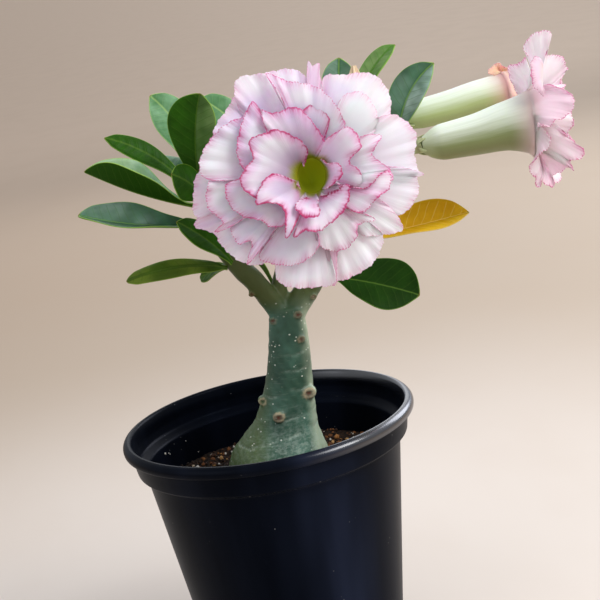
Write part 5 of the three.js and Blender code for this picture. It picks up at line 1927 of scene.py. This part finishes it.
FRONT_BLOOM = SideBloom(
    "front", "front_bloom", SIDE_FRAME,
    Tube(((-39.6, -12, -3), (-36, -11.6, -2.6), (-32.6, -11, -2.2), (-19.6, -8.2, -1.4), (-9.2, -5.4, -0.6),
          (-2, -4.3, 0), (1, -4, 0.2)), (3, 5.2, 6.4, 7.2, 8.2, 9.6, 11.4, 12.8)),
    (Lobe(((-2.4, 20, 3), (-2.5, 22.6, 3), (-2.3, 25, 4), (-0.7, 27.2, 5), (1.9, 28.6, 6), (4.7, 29, 6),
           (6.5, 27.8, 5), (6.3, 25.8, 4), (5.5, 23, 4), (4.9, 20.2, 5)), (-25, 25), 0.05),
     Lobe(((2.1, 18.2, 9), (-0.3, 18.6, 10), (-1.7, 16.2, 12), (-2, 14.2, 13), (-1.9, 10.6, 14),
           (-1.5, 7.8, 14.5), (0.3, 5.4, 15), (2.3, 3.8, 15), (2.9, 5.5, 14.5)), tint=0.95,
           fold=((3.1, 15.8, 9), (2.6, 12, 11), (2.2, 7.5, 13.5))),
     Lobe(((-1.7, 20.6, -2), (-3.3, 18.8, -4), (-5.3, 18.6, -6), (-7.3, 17.8, -7), (-7.5, 16.2, -7),
           (-6.5, 13.4, -7), (-5.3, 11, -7), (-4.6, 7.4, -7)), (-10, -52), 0.1),
     Lobe(((4.5, 19.8, 1), (5.5, 20.6, 0), (7.5, 21.3, -2), (9.5, 21.4, -3), (12.3, 21.3, -4),
           (13.1, 19.8, -5), (14.3, 17.8, -6), (14.9, 16.4, -6), (13.5, 14.8, -7), (12.3, 12.6, -7),
           (12.9, 10.2, -8), (14.3, 8.6, -8), (16.3, 8.4, -8), (16.7, 6.8, -8), (16.3, 2.6, -8),
           (14.7, 0.1, -8)), (0, -95), 0.1),
     Lobe(((4.1, 7.8, 14.5), (6.3, 7, 16), (9.5, 5.4, 17.5), (11.9, 3.8, 18), (12.9, 2.2, 18), (13, -0.3, 18),
           (11.9, -1.9, 18), (9.1, -4.3, 18), (6.3, -5.3, 18), (4.7, -6.7, 17.5), (3.1, -7.5, 17),
           (1.1, -7.3, 16.2), (-0.1, -6.1, 15.2)), (30, 112), 0.7),
     Lobe(((12.6, -0.5, -2), (14.3, -0.9, -3), (16.3, -1.9, -3), (16.7, -3.3, -3), (16.1, -5.5, -4),
           (14.9, -7.5, -4), (16.3, -9.3, -5), (13.5, -11.1, -5), (10, -9.9, -5)), (-85, -150), 0.8),
     Lobe(((3, -8.6, 15), (4.3, -10.3, 15), (5.2, -12.3, 14.5), (4.3, -14.9, 13.5), (2.3, -16.7, 12.5),
           (0.1, -17.6, 11.5), (-1.3, -19.5, 10), (-2, -21.5, 9.5), (-1.3, -23.3, 9), (0.5, -24.9, 8),
           (1.1, -27.3, 7), (2.7, -28.4, 6), (3.8, -26.6, 6.5)), (98, 175), 0.5),
     Lobe(((3.4, -26.8, 7.5), (4.5, -27.5, 6), (7.1, -28.7, 5), (7.8, -27.5, 5), (7.1, -25.1, 5.5),
           (8.7, -23.1, 6), (10.5, -23.1, 6), (11.9, -20.7, 7), (11.1, -17.1, 8)), (176, 128), 0.7),
     Lobe(((11.2, -19, 7), (11.9, -20.7, 8), (13.5, -21.5, 8), (14.3, -22.7, 8), (14, -20.1, 8.5),
           (12.7, -18.9, 9), (14.7, -18.3, 9), (17.1, -17.9, 9), (18.1, -15.9, 10), (17.5, -14.7, 11),
           (14.7, -13.1, 12), (12.3, -11.3, 13), (9, -7.9, 14)), (150, 84), 0.45),
     Lobe(((2, -15, 2), (9, -26, -2), (13, -23, -9), (14, -16, -13), (4, -11, -9)), (170, 232), 0.5),
     Lobe(((2, -11, -8), (12, -15, -14), (15, -6, -17), (14, 2, -17), (4, 0, -11)), (-135, -66), 0.5),
     Lobe(((2, 0, -11), (13, 3, -17), (14, 13, -15), (10, 20, -11), (4, 8, -6)), (-74, -22), 0.4),
     Lobe(((6, 2, 7), (12, 2, 8), (13.5, -6, 8), (11, -11, 6), (5, -9, 6)), (49, 130), 0.4, 3),
     Lobe(((5, -12, 5), (12, -13, 3), (13, -14, -3), (10, -12, -7), (5, -12, -6)), (148, 217), 0.3, 3),
     Lobe(((5, 2, -6), (11, 5, -7), (13, 0, -9), (11, -6, -8), (5, -7, -8)), (-45, -115), 0.3, 3),
     Lobe(((5, 4, 5), (10, 8, 5), (13, 9, 0), (11, 8, -5), (5, 4, -5)), (32, -32), 0.3, 3)),
    PetalSkin("petal_front", body="FEF8FB", cool="FAEDF4", blush="E6BCCA", rim="B43066", edge=0.42,
              bleed=3.4, strength=0.75, foot="DDC0BF", foot_reach=0.5),
    400, FlowerTube("tube_front"))
BACK_BLOOM = SideBloom(
    "back", "back_bloom", SIDE_FRAME,
    Tube(((-47, -0.4, -23), (-43, 0.9, -23.6), (-38.5, 2.2, -24.2), (-27.6, 5.3, -26), (-16.8, 9, -28),
          (-8.4, 11.2, -29.6), (-5.4, 12, -30)), (2.4, 4.4, 5.4, 5.9, 6.2, 6.5, 7.1, 7.8)),
    (Lobe(((-9.6, 17.4, -27), (-12.4, 18.4, -27), (-8.6, 22, -27), (-4.8, 21.2, -28), (-3.6, 18.4, -30)),
           (28, -28), 1.0),
     Lobe(((-4.4, 18.4, -24), (-2.6, 17.8, -23), (-0.8, 15.6, -23), (-0.4, 11.4, -23), (-2, 7.2, -23.5),
           (-4.6, 6.4, -25)), (25, 130), 0.5),
     Lobe(((-5.4, 7.4, -25), (-2.6, 5.2, -25), (0.6, 4.2, -28), (-0.6, 4.2, -32), (-4.6, 6.4, -33)),
           (120, 205), 0.4),
     Lobe(((-4.6, 7.4, -34), (-0.6, 7.4, -37.4), (1.6, 11.4, -39.4), (-0.6, 16.8, -37.4), (-4.6, 17.6, -34)),
           (230, 320), 0.4),
     Lobe(((-3.6, 15.6, -32), (0.6, 16.8, -33), (2.6, 12.4, -33), (0.6, 8.4, -32), (-3.6, 8.4, -31)),
           (-50, -130), 0.6, 2)),
    PetalSkin("petal_back", body="F2D8D8", cool="F0CFD0", blush="ECB898", rim="C2405E", edge=0.42,
              bleed=3.0, strength=0.7, foot="D29A98", foot_reach=0.5),
    700, FlowerTube("tube_back", green="B4C284", streak="A2B472", shade="A3AC70", mouth="CFA09A"),
    reach=(0.26, 0.12))
CALYXES = (
    Calyx("main_calyx", "main_bloom_calyx", MAIN_FRAME, Limb(((-3.5, -14, -46), (-1.8, -11.5, -42.5),
          (0.4, -8.3, -37.4)), (1.5, 1.5, 3.2)), (0.4, -8.4, -37.6), (0.3, -5.5, -30), 7, 2.8, 6, 1.9),
    Calyx("front_calyx", "front_bloom_calyx", SIDE_FRAME, Limb(((-49.6, -13.4, -12.6), (-46.6, -14.4, -8),
          (-43, -13.4, -4.6), (-39.4, -12, -3)), (1.8, 1.8, 2, 3.1)), (-40, -12.1, -3.1), (-34, -11.4, -2.4),
          1.9, 2.9, 3.9, 1.3),
    Calyx("back_calyx", "back_bloom_calyx", SIDE_FRAME, Limb(((-51.5, -11.6, -15.6), (-52, -7, -18.6),
          (-50.2, -2.6, -21.8), (-46.8, -0.35, -23)), (1.7, 1.7, 1.7, 3.2)), (-47.4, -0.5, -22.9),
          (-40.6, 1.6, -24), 4.8, 2.8, 5.2, 1.5),
)


@dataclass(frozen=True)
class SpentFlower:
    """A wilted flower that has shrunk to a twisted spindle on the twig."""

    spindle: Limb = Limb(((50.6, 10.6, 198.2), (53.4, 10, 205), (54.8, 10.2, 212), (55.6, 10.6, 219),
                          (56, 11, 225)), (1.3, 1.4, 2.8, 3, 2.4, 0.8))
    folds: int = 5
    twist: float = 0.8
    depth: float = 0.2
    rows: int = 90
    sides: int = 60

    def build(self) -> bpy.types.Object:
        """Builds the spindle: its radii times 1 + depth * sin(folds * angle + twist), plain at its foot.

        Returns:
            The spent flower.
        """
        t = np.linspace(0, 1, self.rows)
        angle = TURN * np.arange(self.sides) / self.sides
        path = smooth_path(self.spindle.points, t)
        swing = np.sin(self.folds * angle + TURN * self.twist * t[:, None])
        fold = 1 + self.depth * swing * rise(t, 0.15, 0.5)[:, None]
        radii = smooth_values(self.spindle.radii, t)[:, None] * fold
        rings = limb_rings(path, radii, self.sides, (0, 1, 0))
        spread = np.broadcast_to(np.abs(angle / math.pi - 1), fold.shape)
        draft = Draft()
        draft.add_rings(rings, (path[0], path[-1]), {
            "around": spread, "along": np.broadcast_to(t[:, None], fold.shape)})
        return dress(draft.write("spent_spindle"), DriedPetal().material(), "spent_petal", "spent_flower")


# -------- studio


@dataclass(frozen=True)
class Lamp:
    """A square soft light: where it stands, its width, its power and its colour."""

    name: str
    place: Point
    width: float
    power: float
    tint: str


@dataclass(frozen=True)
class Studio:
    """Camera, floor, world and soft lights. The camera sees the horizon's colour where no floor is."""

    camera_place: Point = (0, -555.67, 273.07)
    camera_right: Point = (0.98270, -0.07568, -0.16905)
    camera_up: Point = (0.18178, 0.21898, 0.95865)
    lens: float = 90
    sensor: float = 36
    target: Point = (15, 0, 130)
    floor_radius: float = 150000
    floor_depth: float = 2
    sky: str = "E9EDF4"
    sky_strength: float = 0.72
    horizon: str = "BBA998"
    lamps: tuple[Lamp, ...] = (
        Lamp("key_light", (700, -420, 900), 520, 9.0, "FFFFFF"),
        Lamp("fill_light", (-900, -600, 700), 800, 1.8, "F4F8FF"),
        Lamp("back_light", (100, 1100, 800), 900, 3.0, "FFFFFF"),
        Lamp("side_light", (880, 684, 590), 620, 6, "F2F5FF"),
    )

    def matrix(self, place: Point, right: Point | Grid, up: Point | Grid) -> Grid:
        """Works out the matrix that places something in the scene.

        Args:
            place: Where it stands.
            right: The direction to its right.
            up: The direction up from it.

        Returns:
            Its matrix by columns, as Blender takes it.
        """
        right = unit(np.array(right, float))
        back = unit(np.cross(right, np.array(up, float)))
        up = np.cross(back, right)
        rows = np.eye(4)
        rows[:3, 0], rows[:3, 1], rows[:3, 2], rows[:3, 3] = right, up, back, np.array(place) * MM
        return rows.T

    def build(self) -> None:
        """Sets up the camera, the lights, the world and the floor."""
        camera = bpy.data.objects.new("camera", bpy.data.cameras.new("camera"))
        camera.data.lens, camera.data.sensor_width = self.lens, self.sensor
        camera.data.clip_start = 0.01
        camera.matrix_world = self.matrix(self.camera_place, self.camera_right, self.camera_up)
        bpy.context.collection.objects.link(camera)
        bpy.context.scene.camera = camera
        for lamp in self.lamps:
            light = bpy.data.lights.new(lamp.name, "AREA")
            light.size, light.energy, light.color = lamp.width * MM, lamp.power, colour(lamp.tint)[:3]
            holder = bpy.data.objects.new(lamp.name, light)
            holder.visible_camera = False
            back = unit(np.array(lamp.place) - np.array(self.target))
            right = unit(np.cross([0, 0, 1], back))
            holder.matrix_world = self.matrix(lamp.place, right, np.cross(back, right))
            bpy.context.collection.objects.link(holder)
        world = bpy.data.worlds.new("studio")
        world.use_nodes = True
        nodes, links = world.node_tree.nodes, world.node_tree.links
        light = nodes["Background"]
        light.inputs["Color"].default_value = colour(self.sky)
        light.inputs["Strength"].default_value = self.sky_strength
        seen = nodes.new("ShaderNodeBackground")
        seen.inputs["Color"].default_value = colour(self.horizon)
        pick, path = nodes.new("ShaderNodeMixShader"), nodes.new("ShaderNodeLightPath")
        links.new(path.outputs["Is Camera Ray"], pick.inputs[0])
        links.new(light.outputs[0], pick.inputs[1])
        links.new(seen.outputs[0], pick.inputs[2])
        links.new(pick.outputs[0], nodes["World Output"].inputs["Surface"])
        bpy.context.scene.world = world
        bpy.context.scene.view_settings.view_transform = "Standard"
        draft = Draft()
        disc = turned(np.array([[self.floor_radius, -self.floor_depth], [self.floor_radius, 0.0]]), 96)
        draft.add_rings(disc, (np.array([0, 0, -self.floor_depth]), np.zeros(3)))
        floor = draft.write("floor")
        floor.data.materials.append(PaperFloor().material())


def main() -> None:
    """Builds the pot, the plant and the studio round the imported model."""
    logging.basicConfig(level=logging.INFO, format="%(name)s: %(message)s")
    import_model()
    Studio().build()
    pot = Pot()
    pot.build()
    Soil(pot).build()
    Stem().build()
    Foliage().build()
    OpenBloom().build()
    FRONT_BLOOM.build()
    BACK_BLOOM.build()
    green = GreenStalk().material()
    for calyx in CALYXES:
        calyx.build(green)
    SpentFlower().build()


if __name__ == "__main__":
    main()
